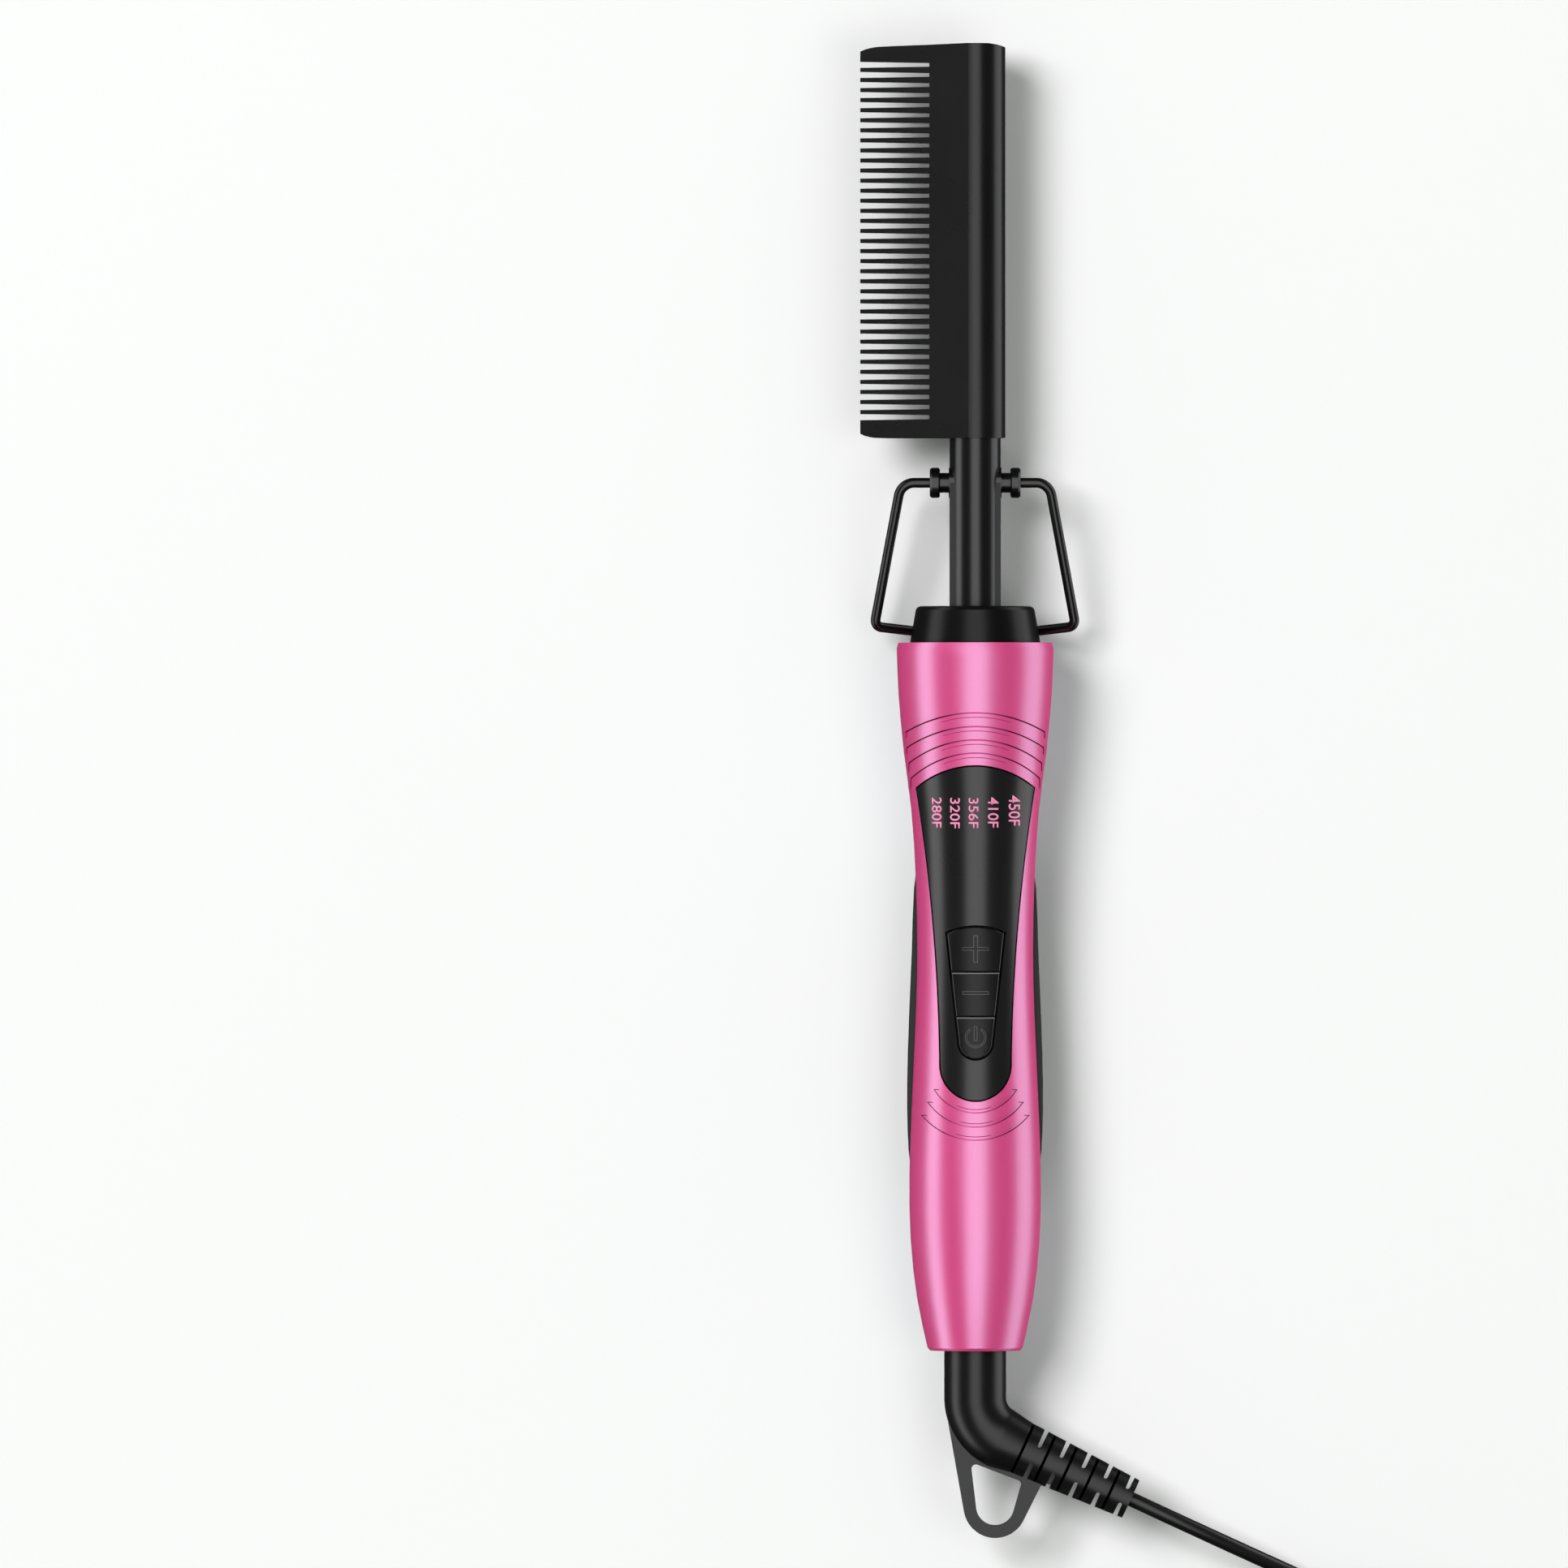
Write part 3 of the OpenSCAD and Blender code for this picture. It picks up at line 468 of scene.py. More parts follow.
def grainGroup():
    # moulded or painted skin: fine grain in the surface, broad drift in colour and gloss
    group, inlet = newGroup("skinGrain", {"Color": (0.5, 0.5, 0.5), "Shade": 0.1, "Roughness": 0.4,
                                          "Spread": 0.1, "Grain": 2500.0, "Depth": 0.2})
    vector = patternPlace(group)
    fine = noiseNode(group, vector, inlet["Grain"], 3.0, 0.6)
    broad = noiseNode(group, vector, 45.0, 4.0, 0.55)
    most, rest = mathNode(group, "MULTIPLY", fine, 0.6), mathNode(group, "MULTIPLY", broad, 0.4)
    color = shadedColor(group, inlet["Color"], inlet["Shade"], mathNode(group, "ADD", most, rest))
    roughness = aboutMiddle(group, broad, inlet["Spread"], inlet["Roughness"], clamp=True)
    return finishGroup(group, color, roughness, bumpNode(group, inlet["Depth"], fine, 0.04 * mm))


def flakeGroup():
    # pearl paint: tiny flakes that differ in brightness and tilt
    group, inlet = newGroup("pearlFlakes", {"Color": (0.8, 0.2, 0.4), "Deep Color": (0.6, 0.1, 0.3),
                                            "Flake": 9000.0, "Sparkle": 0.15, "Roughness": 0.3, "Tilt": 0.1})
    cells = addNode(group, "ShaderNodeTexVoronoi", {"Vector": patternPlace(group), "Scale": inlet["Flake"]})
    split = addNode(group, "ShaderNodeSeparateColor", {"Color": cells.outputs["Color"]}).outputs
    drift = noiseNode(group, patternPlace(group, (1, 0.25, 1)), 38.0, 3.0, 0.5)
    share = mathNode(group, "MULTIPLY", drift, 0.35)
    color = shadedColor(group, mixedColor(group, share, inlet["Color"], inlet["Deep Color"]),
                        inlet["Sparkle"], split["Red"])
    roughness = aboutMiddle(group, drift, 0.12, inlet["Roughness"], clamp=True)
    return finishGroup(group, color, roughness, bumpNode(group, inlet["Tilt"], split["Green"], 0.01 * mm))


def weaveGroup():
    # crossed threads
    group, inlet = newGroup("threadWeave", {"Color": (0.5, 0.5, 0.5), "Threads": 1400.0, "Roughness": 0.8,
                                            "Depth": 0.5})
    threads = []
    for direction, turn in (("X", 45), ("Y", -45)):
        wave = addNode(group, "ShaderNodeTexWave", {"Vector": patternPlace(group, turn=turn),
                                                    "Scale": inlet["Threads"], "Distortion": 0.6},
                       bands_direction=direction)
        threads.append(wave.outputs["Fac"])
    crossed = mathNode(group, "MAXIMUM", *threads)
    color = shadedColor(group, inlet["Color"], 0.6, crossed)
    roughness = mathNode(group, "SUBTRACT", inlet["Roughness"], mathNode(group, "MULTIPLY", crossed, 0.15))
    return finishGroup(group, color, roughness, bumpNode(group, inlet["Depth"], crossed, 0.1 * mm))


def drawnGroup():
    # fine lines left by drawing, turning or plating metal, along the piece's length
    group, inlet = newGroup("drawnMetal", {"Color": (0.7, 0.7, 0.7), "Dark Color": (0.4, 0.4, 0.4),
                                           "Lines": 6000.0, "Roughness": 0.3, "Depth": 0.2})
    lines = noiseNode(group, patternPlace(group, (1, 0.04, 1)), inlet["Lines"], 3.0, 0.6)
    stain = noiseNode(group, patternPlace(group), 300.0, 4.0, 0.6)
    share = mathNode(group, "MULTIPLY", lines, stain)
    color = mixedColor(group, share, inlet["Color"], inlet["Dark Color"])
    roughness = aboutMiddle(group, stain, 0.3, inlet["Roughness"], clamp=True)
    return finishGroup(group, color, roughness, bumpNode(group, inlet["Depth"], lines, 0.02 * mm))


effects = {"grain": grainGroup(), "flake": flakeGroup(), "weave": weaveGroup(), "drawn": drawnGroup()}


def surface(name, effect, settings, **constants):
    # a Principled surface whose colour, gloss and relief come from one shared effect
    material = bpy.data.materials.new(name)
    material.use_nodes = True
    tree = material.node_tree
    shader = tree.nodes["Principled BSDF"]
    for label, value in constants.items():
        shader.inputs[label.replace("_", " ")].default_value = value
    group = tree.nodes.new("ShaderNodeGroup")
    group.node_tree = effects[effect]
    for label, value in settings.items():
        group.inputs[label].default_value = (*value, 1) if isinstance(value, tuple) else value
    for label, socket in (("Color", "Base Color"), ("Roughness", "Roughness"), ("Normal", "Normal")):
        tree.links.new(group.outputs[label], shader.inputs[socket])
    return material


def grained(name, color, roughness, grain, depth, shade, spread, reflections=0.5):
    return surface(name, "grain", {"Color": color, "Shade": shade, "Roughness": roughness, "Spread": spread,
                                   "Grain": grain, "Depth": depth}, Specular_IOR_Level=reflections)


def metal(name, color, dark, roughness):
    return surface(name, "drawn", {"Color": color, "Dark Color": dark, "Roughness": roughness}, Metallic=1.0)


def quietBounce(material, dullColor):
    # the paint throws a dull light on its surroundings instead of a pink one
    tree = material.node_tree
    base = tree.nodes["Principled BSDF"].inputs["Base Color"]
    rays = addNode(tree, "ShaderNodeLightPath").outputs
    mixed = mixedColor(tree, rays["Is Diffuse Ray"], base.links[0].from_socket, dullColor)
    tree.links.new(mixed, base)


def palerMiddle(material, middleColor, near, far):
    # a paler colour for a painted shade along the handle's axis, fading out sideways (millimetres)
    tree = material.node_tree
    base = tree.nodes["Principled BSDF"].inputs["Base Color"]
    place = addNode(tree, "ShaderNodeTexCoord").outputs["Object"]
    across = addNode(tree, "ShaderNodeSeparateXYZ", {"Vector": place}).outputs["X"]
    aside = mathNode(tree, "ABSOLUTE", mathNode(tree, "SUBTRACT", across, axisX), 0.0)
    fade = addNode(tree, "ShaderNodeMapRange", {"Value": aside, "From Min": near * mm, "From Max": far * mm})
    mixed = mixedColor(tree, fade.outputs["Result"], middleColor, base.links[0].from_socket)
    tree.links.new(mixed, base)


# colour, roughness, fineness and depth of the grain, how much it varies the colour and the gloss, and,
# where it isn't 0.5, the strength of the reflections
grainedFinishes = {
    "headCoating": ((0.004, 0.004, 0.0041), 0.28, 5200.0, 0.25, 0.25, 0.1, 0.36),
    "neckPaint": ((0.0045, 0.0045, 0.0046), 0.26, 4200.0, 0.12, 0.2, 0.06),
    "studPaint": ((0.003, 0.003, 0.0031), 0.25, 4200.0, 0.12, 0.2, 0.06),
    "bracketPaint": ((0.003, 0.003, 0.0031), 0.25, 4200.0, 0.12, 0.2, 0.06, 0.25),
    "wirePaint": ((0.0035, 0.0035, 0.0036), 0.28, 4200.0, 0.15, 0.2, 0.06),
    "collarPlastic": ((0.003, 0.003, 0.0031), 0.3, 3200.0, 0.15, 0.2, 0.06, 0.22),
    "panelPlastic": ((0.007, 0.0071, 0.0073), 0.28, 3600.0, 0.08, 0.15, 0.05),
    "keyPlastic": ((0.005, 0.0051, 0.0053), 0.36, 3200.0, 0.2, 0.15, 0.06, 0.25),
    # lighter grey painted as a highlight on the signs' outlines and the keys' rounded flanks
    "dimEdgeHighlight": ((0.03, 0.03, 0.031), 0.3, 3200.0, 0.1, 0.1, 0.05),
    "gripRubber": ((0.0092, 0.0098, 0.0096), 0.5, 2600.0, 0.4, 0.2, 0.08, 0.3),
    "reliefRubber": ((0.0032, 0.0033, 0.0034), 0.33, 3000.0, 0.25, 0.2, 0.08, 0.4),
    "leadJacket": ((0.004, 0.004, 0.0042), 0.35, 3400.0, 0.25, 0.2, 0.08),
    # dark crimson painted as shade in the grooves, and a darker pink painted as shade on the channels' blunt
    # edges
    "grooveShade": ((0.15, 0.001, 0.022), 0.6, 2600.0, 0.2, 0.2, 0.08, 0.1),
    "channelEdgeShade": ((0.4, 0.018, 0.15), 0.5, 2600.0, 0.2, 0.2, 0.08, 0.2),
    "gapShade": ((0.0012, 0.0012, 0.0012), 0.7, 2600.0, 0.2, 0.2, 0.08, 0.0),
    # lighter grey painted as a highlight on the rounded edge where one key meets the next
    "splitEdgeHighlight": ((0.14, 0.14, 0.142), 0.3, 3200.0, 0.1, 0.1, 0.05),
    "printInk": ((0.95, 0.29, 0.52), 0.45, 5000.0, 0.1, 0.12, 0.05),
    "plugPlastic": ((0.011, 0.011, 0.0112), 0.45, 2200.0, 0.4, 0.2, 0.08),
    "heaterCeramic": ((0.78, 0.75, 0.68), 0.7, 2600.0, 0.5, 0.12, 0.1),
    "boardResist": ((0.012, 0.12, 0.045), 0.35, 1500.0, 0.35, 0.35, 0.1),
    "lampLens": ((0.85, 0.5, 0.62), 0.3, 2600.0, 0.1, 0.1, 0.05),
    "chipEpoxy": ((0.014, 0.014, 0.014), 0.6, 3500.0, 0.4, 0.2, 0.08),
    "filmCase": ((0.62, 0.33, 0.03), 0.3, 2600.0, 0.15, 0.15, 0.08),
    "canSleeve": ((0.012, 0.02, 0.09), 0.28, 2600.0, 0.1, 0.15, 0.08),
    "switchCase": ((0.016, 0.016, 0.016), 0.5, 3000.0, 0.3, 0.2, 0.08),
    "whitePlastic": ((0.76, 0.75, 0.7), 0.4, 2600.0, 0.15, 0.08, 0.05),
    "holderBoard": ((0.33, 0.18, 0.06), 0.6, 1800.0, 0.4, 0.3, 0.1),
    "innerLead": ((0.02, 0.02, 0.02), 0.5, 3000.0, 0.25, 0.2, 0.08),
}

# bright colour, dark colour and roughness
metalFinishes = {
    "sensorBrass": ((0.66, 0.48, 0.2), (0.35, 0.22, 0.08), 0.4),
    "contactBrass": ((0.78, 0.6, 0.28), (0.5, 0.34, 0.12), 0.25),
    "plated": ((0.62, 0.61, 0.58), (0.42, 0.4, 0.36), 0.28),
    "zinc": ((0.55, 0.56, 0.58), (0.32, 0.33, 0.35), 0.38),
    "tinned": ((0.58, 0.58, 0.58), (0.38, 0.38, 0.38), 0.42),
}

materials = {name: grained(name, *values) for name, values in grainedFinishes.items()}
materials.update({name: metal(name, *values) for name, values in metalFinishes.items()})
materials["pearlPink"] = surface(
    "pearlPink", "flake", {"Color": (0.79, 0.032, 0.215), "Deep Color": (0.66, 0.021, 0.155), "Flake": 9000.0,
                           "Sparkle": 0.1, "Roughness": 0.34, "Tilt": 0.12},
    IOR=3.1, Specular_Tint=(0.6, 0.68, 0.97, 1))
materials["tieStrap"] = surface(
    "tieStrap", "weave", {"Color": (0.012, 0.012, 0.012), "Threads": 1500.0, "Roughness": 0.8, "Depth": 0.6})
materials["glassSleeve"] = surface(
    "glassSleeve", "weave", {"Color": (0.72, 0.71, 0.66), "Threads": 2600.0, "Roughness": 0.75, "Depth": 0.6})
quietBounce(materials["pearlPink"], dullColor=(0.22, 0.17, 0.18))
# the painted shade in the grooves is paler near the handle's axis
palerMiddle(materials["grooveShade"], middleColor=(0.75, 0.11, 0.4), near=1.5, far=7.0)

# the finish of each CAD node that shows as it is
nodeFinishes = {
    "headCoating": ["comb_head"], "heaterCeramic": ["heater_rod"], "sensorBrass": ["thermistor"],
    "glassSleeve": ["heater_leads"], "neckPaint": ["neck_tube"], "bracketPaint": ["stand_bracket"],
    "studPaint": ["pivot_studs"], "collarPlastic": ["collar"], "pearlPink": ["rear_shell"],
    "gripRubber": ["rear_grip"], "switchCase": ["tact_switches"], "boardResist": ["circuit_board"],
    "whitePlastic": ["plunger_plus", "plunger_minus", "plunger_power", "swivel_rotor"],
    "lampLens": ["indicator_leds"], "chipEpoxy": ["control_chip", "triac"], "filmCase": ["film_capacitor"],
    "canSleeve": ["smoothing_capacitor"], "tinned": ["thermal_fuse"], "innerLead": ["supply_leads"],
    "holderBoard": ["brush_holder"], "contactBrass": ["brush_springs", "slip_rings"],
    "plated": ["plug_blades"],
}


def paint(piece, *finishes):
    piece.data.materials.clear()
    for finish in finishes:
        piece.data.materials.append(materials[finish])


for finish, painted in nodeFinishes.items():
    for nodeName in painted:
        paint(nodes[nodeName], finish)
paint(lead, "leadJacket")
paint(tie, "tieStrap")
paint(plug, "plugPlastic")
print("materials ready")


handleSetup = {
    # outline of the skin: place along the axis and radius
    "stations": [(-114.3, 9.8), (-104, 11.95), (-92, 13.25), (-79, 13.5), (-63, 12.95), (-46, 12.2),
                 (-33, 11.9), (-18, 12.2), (-4, 13.1), (8, 14.65), (20, 15.75), (29.2, 16.1)],
    "tailEdge": (-114.9, 9.25),
    "rimEdge": (30.4, 15.8),
    "pocketRound": 0.2,
    "panelRound": 0.2,
    "panelProud": 0.1,
    "grooveZones": [(0, 17), (-73, -59)],
    "zoneSplit": -30,  # between the two sets of grooves
    # blunt far edges of the channels beside the grooves: centre along the axis, radius, half width
    "channelEdges": [(-10.25, 25.4, 7.5), (-10.05, 22.4, 7.5), (-9.8, 19.4, 7.2), (-9.9, 16.8, 6.8),
                     (-56.355, 9.033, 4), (-57.155, 11.133, 4), (-57.355, 13.633, 4)],
    "channelStops": [-61.3, -63.9, -66.6],
    "stopsFrom": 5,  # distance from the axis past which the channels stop
    "channelRound": 0.15,
    # an edge is worked on where it lies this high over the axis and this near to the skin and its partner
    "edges": {"high": 3, "skin": 0.06, "panel": 0.3, "channelSkin": 0.04, "channel": 0.06, "stop": 0.05},
    # a face gets painted shade where it lies this high, this deep under the skin and this far from the panel
    "faces": {"high": 2, "bluntFrom": 0.005, "blunt": (0.3, 0.93), "edge": 0.2, "stop": 0.15,
              "panel": 0.7, "wallFrom": 0.12, "floorFrom": 0.2, "to": 0.7, "steep": 0.1},
    # a face belongs to the skin when it leans this little from it, or less where its points lie on the skin
    "lean": {"face": 0.97, "sliver": 0.3, "onSkin": 0.03},
    "panelSide": 0.6,  # depth down to which the panel's side gets painted shade
}


def handleLine():
    p = handleSetup["stations"]
    line = [handleSetup["tailEdge"]]
    for i, (b, c) in enumerate(zip(p, p[1:])):
        a, d = p[max(i - 1, 0)], p[min(i + 2, len(p) - 1)]
        line += [b, tuple((9 * (b[k] + c[k]) - a[k] - d[k]) / 16 for k in (0, 1))]
    return line + [p[-1], handleSetup["rimEdge"]]


def lineSlopes():
    # slope of the skin at each station, without the rounded edges at the two ends
    inner = skinLine[1:-1]
    steps = [(r1 - r0) / (y1 - y0) for (y0, r0), (y1, r1) in zip(inner, inner[1:])]
    means = [steps[0]] + [(a + b) / 2 for a, b in zip(steps, steps[1:])] + [steps[-1]]
    return [(y, slope) for (y, r), slope in zip(inner, means)]


skinLine = handleLine()
skinSlopes = lineSlopes()


def skinDepth(p):
    # how far a point lies under the handle's skin, in millimetres
    y = p.y / mm
    across = math.hypot(p.x - axisX, p.z - axisZ) / mm
    for (y0, r0), (y1, r1) in zip(skinLine, skinLine[1:]):
        if y0 <= y <= y1:
            return r0 + (r1 - r0) * (y - y0) / (y1 - y0) - across
    return 99


def skinNormal(p):
    # which way the handle's skin faces beside a point
    y = p.y / mm
    for (y0, s0), (y1, s1) in zip(skinSlopes, skinSlopes[1:]):
        if y0 <= y <= y1:
            slope = s0 + (s1 - s0) * (y - y0) / (y1 - y0)
            outward = Vector((p.x - axisX, 0, p.z - axisZ)).normalized()
            return (outward - Vector((0, slope, 0))).normalized()
    return None


def evenShading(piece, proud):
    # shades the faces along the skin as one smooth form, however they are cut up
    c = handleSetup["lean"]
    mesh = piece.data
    normals = [(0, 0, 0)] * len(mesh.loops)
    for face in mesh.polygons:
        along = skinNormal(face.center)
        lean = face.normal.dot(along) if along else 0
        for i in face.loop_indices:
            p = mesh.vertices[mesh.loops[i].vertex_index].co
            if lean > c["face"] or (lean > c["sliver"] and abs(skinDepth(p) + proud) < c["onSkin"]):
                normals[i] = skinNormal(p) or (0, 0, 0)
    mesh.normals_split_custom_set(normals)


def distanceTo(node, p):
    return (node.closest_point_on_mesh(p)[1] - p).length / mm


def nearChannelEdge(p, reach):
    c = handleSetup
    x, y = (p.x - axisX) / mm, p.y / mm
    for middle, radius, half in c["channelEdges"]:
        onArc = abs(x) < half and abs(math.hypot(x, y - middle) - radius) < reach
        if onArc and (y > middle) == (middle > c["zoneSplit"]):
            return True
    return False


def nearStop(p, reach):
    atStop = any(abs(p.y / mm - y) < reach for y in handleSetup["channelStops"])
    return atStop and abs(p.x - axisX) > handleSetup["stopsFrom"] * mm


def onUpperSkin(p, reach):
    return abs(skinDepth(p)) < reach and p.z > axisZ + handleSetup["edges"]["high"] * mm


def shellFinish(face, panel):
    # the slot of a face's finish: 0 skin, 1 painted groove shade, 2 painted shade on a channel's blunt edge
    c, limits = handleSetup, handleSetup["faces"]
    p = face.center
    if p.z <= axisZ + limits["high"] * mm or not any(lo < p.y / mm < hi for lo, hi in c["grooveZones"]):
        return 0
    depth = skinDepth(p)
    if limits["bluntFrom"] < depth < c["channelRound"]:
        if limits["blunt"][0] < face.normal.dot(skinNormal(p)) < limits["blunt"][1]:
            return 2 if nearChannelEdge(p, limits["edge"]) else int(nearStop(p, limits["stop"]))
    if distanceTo(panel, p) <= limits["panel"]:
        return 0
    isWall = abs(face.normal.z) < limits["steep"] and depth > limits["wallFrom"]
    return int(depth < limits["to"] and (isWall or depth > limits["floorFrom"]))


def makeShell():
    c, near = handleSetup, handleSetup["edges"]
    panel = nodes["control_panel"]
    shell = workCopy("front_shell", "frontShell")
    bevelSharp(shell, 50, lambda p: onUpperSkin(p, near["skin"]) and distanceTo(panel, p) < near["panel"],
               c["pocketRound"], 3)
    for test, reach in ((nearChannelEdge, near["channel"]), (nearStop, near["stop"])):
        bevelSharp(shell, 40, lambda p: onUpperSkin(p, near["channelSkin"]) and test(p, reach),
                   c["channelRound"], 1, clamp=True)
    smooth(shell, 30)
    evenShading(shell, 0)
    paint(shell, "pearlPink", "grooveShade", "channelEdgeShade")
    for face in shell.data.polygons:
        face.material_index = shellFinish(face, panel)
    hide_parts("front_shell")
    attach(shell, "handle")


def makePanel():
    c = handleSetup
    panel = workCopy("control_panel", "controlPanel")
    bevelSharp(panel, 25, lambda p: abs(skinDepth(p) + c["panelProud"]) < c["edges"]["skin"],
               c["panelRound"], 1)
    smooth(panel, 30)
    evenShading(panel, c["panelProud"])
    # the panel's sides get painted shade, a dark outline round it
    paint(panel, "panelPlastic", "gapShade")
    for face in panel.data.polygons:
        outward = Vector((face.center.x - axisX, 0, face.center.z - axisZ)).normalized()
        onSide = face.normal.dot(outward) < c["lean"]["face"]
        face.material_index = int(onSide and -c["panelProud"] < skinDepth(face.center) < c["panelSide"])
    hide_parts("control_panel")
    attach(panel, "handle")


keySetup = {
    "proud": 0.3,
    "onTop": 0.06,  # how near to the top an edge lies that is rounded
    "round": 0.16,
    "splitRound": 0.3,  # the wider edge where one key meets the next, painted as a highlight
    "splitKeys": ("minus", "power"),
    "splitEdge": 0.12,  # how near to the key's upper end that edge lies
    "splitWidth": 0.4,
    "facing": {"upperEnd": 0.3, "flank": 0.45, "rounded": (0.1, 0.93)},
    "slack": (0.05, 0.03),  # how far the rounded faces may lie over and under the round
}


def makeKey(part):
    # slots: 0 key, 1 painted highlight on the edge to the next key, 2 painted highlight on the flanks' round
    c, facing = keySetup, keySetup["facing"]
    key = workCopy("key_" + part, part + "Key")
    isSplit = part in c["splitKeys"]
    upperEnd = max(v.co.y for v in key.data.vertices if skinDepth(v.co) < 0) / mm

    def onTop(p):
        return abs(skinDepth(p) + c["proud"]) < c["onTop"]

    if isSplit:
        bevelSharp(key, 50, lambda p: onTop(p) and p.y / mm > upperEnd - c["splitEdge"], c["splitRound"], 2)
    bevelSharp(key, 50, onTop, c["round"], 3)
    smooth(key, 30)
    paint(key, "keyPlastic", "splitEdgeHighlight", "dimEdgeHighlight")
    for face in key.data.polygons:
        p, n = face.center, face.normal
        atEnd = n.y > facing["upperEnd"]
        low = c["splitRound"] if atEnd else c["round"]
        onRound = -c["proud"] - c["slack"][0] < skinDepth(p) < -c["proud"] + low + c["slack"][1]
        face.material_index = 0
        if onRound and facing["rounded"][0] < n.z < facing["rounded"][1]:
            takesHighlight = isSplit and atEnd and p.y / mm > upperEnd - c["splitWidth"]
            face.material_index = 1 if takesHighlight else 2 * int(abs(n.x) > facing["flank"])
    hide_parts("key_" + part)
    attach(key, part + "_key")
    return key


wireSetup = {
    "radius": 1.025,
    "way": [(5.9, 63.25, 0), (15.2, 63.25, 0), (20.7, 33.8, -5.193), (0, 31.4, -17.4)],
    "bends": [3.1, 1.7, 17],
    "segments": [8, 8, 20],
}


def makeWire():
    c = wireSetup
    half = [onAxis(*p) for p in c["way"]]
    mirrored = [onAxis(-x, y, z) for x, y, z in c["way"][-2::-1]]
    points = half + mirrored
    wire = chain("standWire", points)
    bends = c["bends"] + c["bends"][-2::-1]
    segments = c["segments"] + c["segments"][-2::-1]
    for i, (radius, steps) in enumerate(zip(bends, segments), 1):
        turn = math.degrees((points[i] - points[i - 1]).angle(points[i + 1] - points[i]))
        roundCorner(wire, points[i], radius, turn, steps)
    makeActive(wire)
    bpy.ops.object.convert(target="CURVE")
    line = bpy.context.object.data
    line.bevel_depth = c["radius"] * mm
    line.bevel_resolution = 5
    line.use_fill_caps = True
    bpy.ops.object.convert(target="MESH")
    wire = named("standWire")
    smooth(wire, 40)
    paint(wire, "wirePaint")
    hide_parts("stand_bail")
    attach(wire, "stand")


screwSetup = {
    "places": [(0, 12, -9), (0, -86, -8)],
    "headRadius": 2.5,
    "headHeight": 1.8,
    "headOutline": [(0, 1), (0.6, 1), (0.86, 0.86), (1, 0.5), (1, 0)],  # shares of radius and height
    "shaftRadius": 1.3,
    "shaftTop": 7.0,
    "pitch": 0.9,
    "threadFrom": 0.4,
    "threadDepth": 0.3,
    "tip": {"radius": 0.3, "length": 1},
    "cross": {"length": 2.7, "width": 0.62, "depth": 1.1, "turn": 20, "foot": 0.45},
}


def makeScrew(place):
    # pan head with a cross recess at the bottom, threaded shaft upwards
    c, cross = screwSetup, screwSetup["cross"]
    x, y, seat = place
    r, h, shaft = c["headRadius"], c["headHeight"], c["shaftRadius"]
    top = c["shaftTop"] - seat
    outline = [(r * u, -h * v) for u, v in c["headOutline"]] + [(shaft, 0)]
    z = c["threadFrom"]
    while z + c["pitch"] < top - c["tip"]["length"]:
        outline += [(shaft - c["threadDepth"], z), (shaft, z + c["pitch"] / 2)]
        z += c["pitch"]
    outline += [(shaft - c["threadDepth"], z), (c["tip"]["radius"], top), (0, top)]
    screw = chain("screw", [onAxis(x + u, y, seat + v) for u, v in outline])
    with editing(screw):
        bpy.ops.mesh.spin(steps=32, angle=math.tau, center=onAxis(x, y, seat), axis=(0, 0, 1))
        bpy.ops.mesh.select_all(action="SELECT")
        bpy.ops.mesh.remove_doubles(threshold=weld)
        bpy.ops.mesh.normals_make_consistent(inside=False)
    middle = onAxis(x, y, seat - h)
    for turn in (0, 90):
        deselectAll()
        bpy.ops.mesh.primitive_cube_add(size=1, location=middle,
                                        rotation=(0, 0, math.radians(turn + cross["turn"])))
        blade = named("crossBlade")
        blade.scale = (cross["length"] * mm, cross["width"] * mm, 2 * cross["depth"] * mm)
        applyPlace(blade)
        with selecting(blade, "FACE", lambda p, n: n.z > 0.5):
            bpy.ops.transform.resize(value=(cross["foot"], cross["foot"], 1), center_override=middle)
        applied(screw, "BOOLEAN", operation="DIFFERENCE", object=blade, solver="EXACT")
        bpy.data.objects.remove(blade)
    return screw


def makeScrews():
    screws = joinAll([makeScrew(place) for place in screwSetup["places"]], "handleScrews")
    smooth(screws, 35)
    paint(screws, "zinc")
    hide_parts("handle_screws")
    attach(screws, "handle")


elbowSetup = {
    "radius": 6.35,
    "bendFrom": -124.6,  # place along the handle's axis where the bend starts
    "bendRadius": 9.3,
    "slack": 0.01,  # overlap of the lengths of skin
    "lean": 0.96,  # a face belongs to the skin when it leans this little from it
    "onSkin": 0.03,
    # a groove's floor gets painted shade where it lies deeper than this, faces up and is clear of the hanging
    # loop
    "grooveDepth": 0.3,
    "grooveFacing": 0.8,
    "loopHalf": 1.4,
    # strain relief: distance past the bend, radius and slope of the skin
    "relief": [(0, 6.35, 0.083), (4.5, 5.6, 0.11), (4.8, 5.584, 0.054), (29.3, 4.25, 0.054)],
}


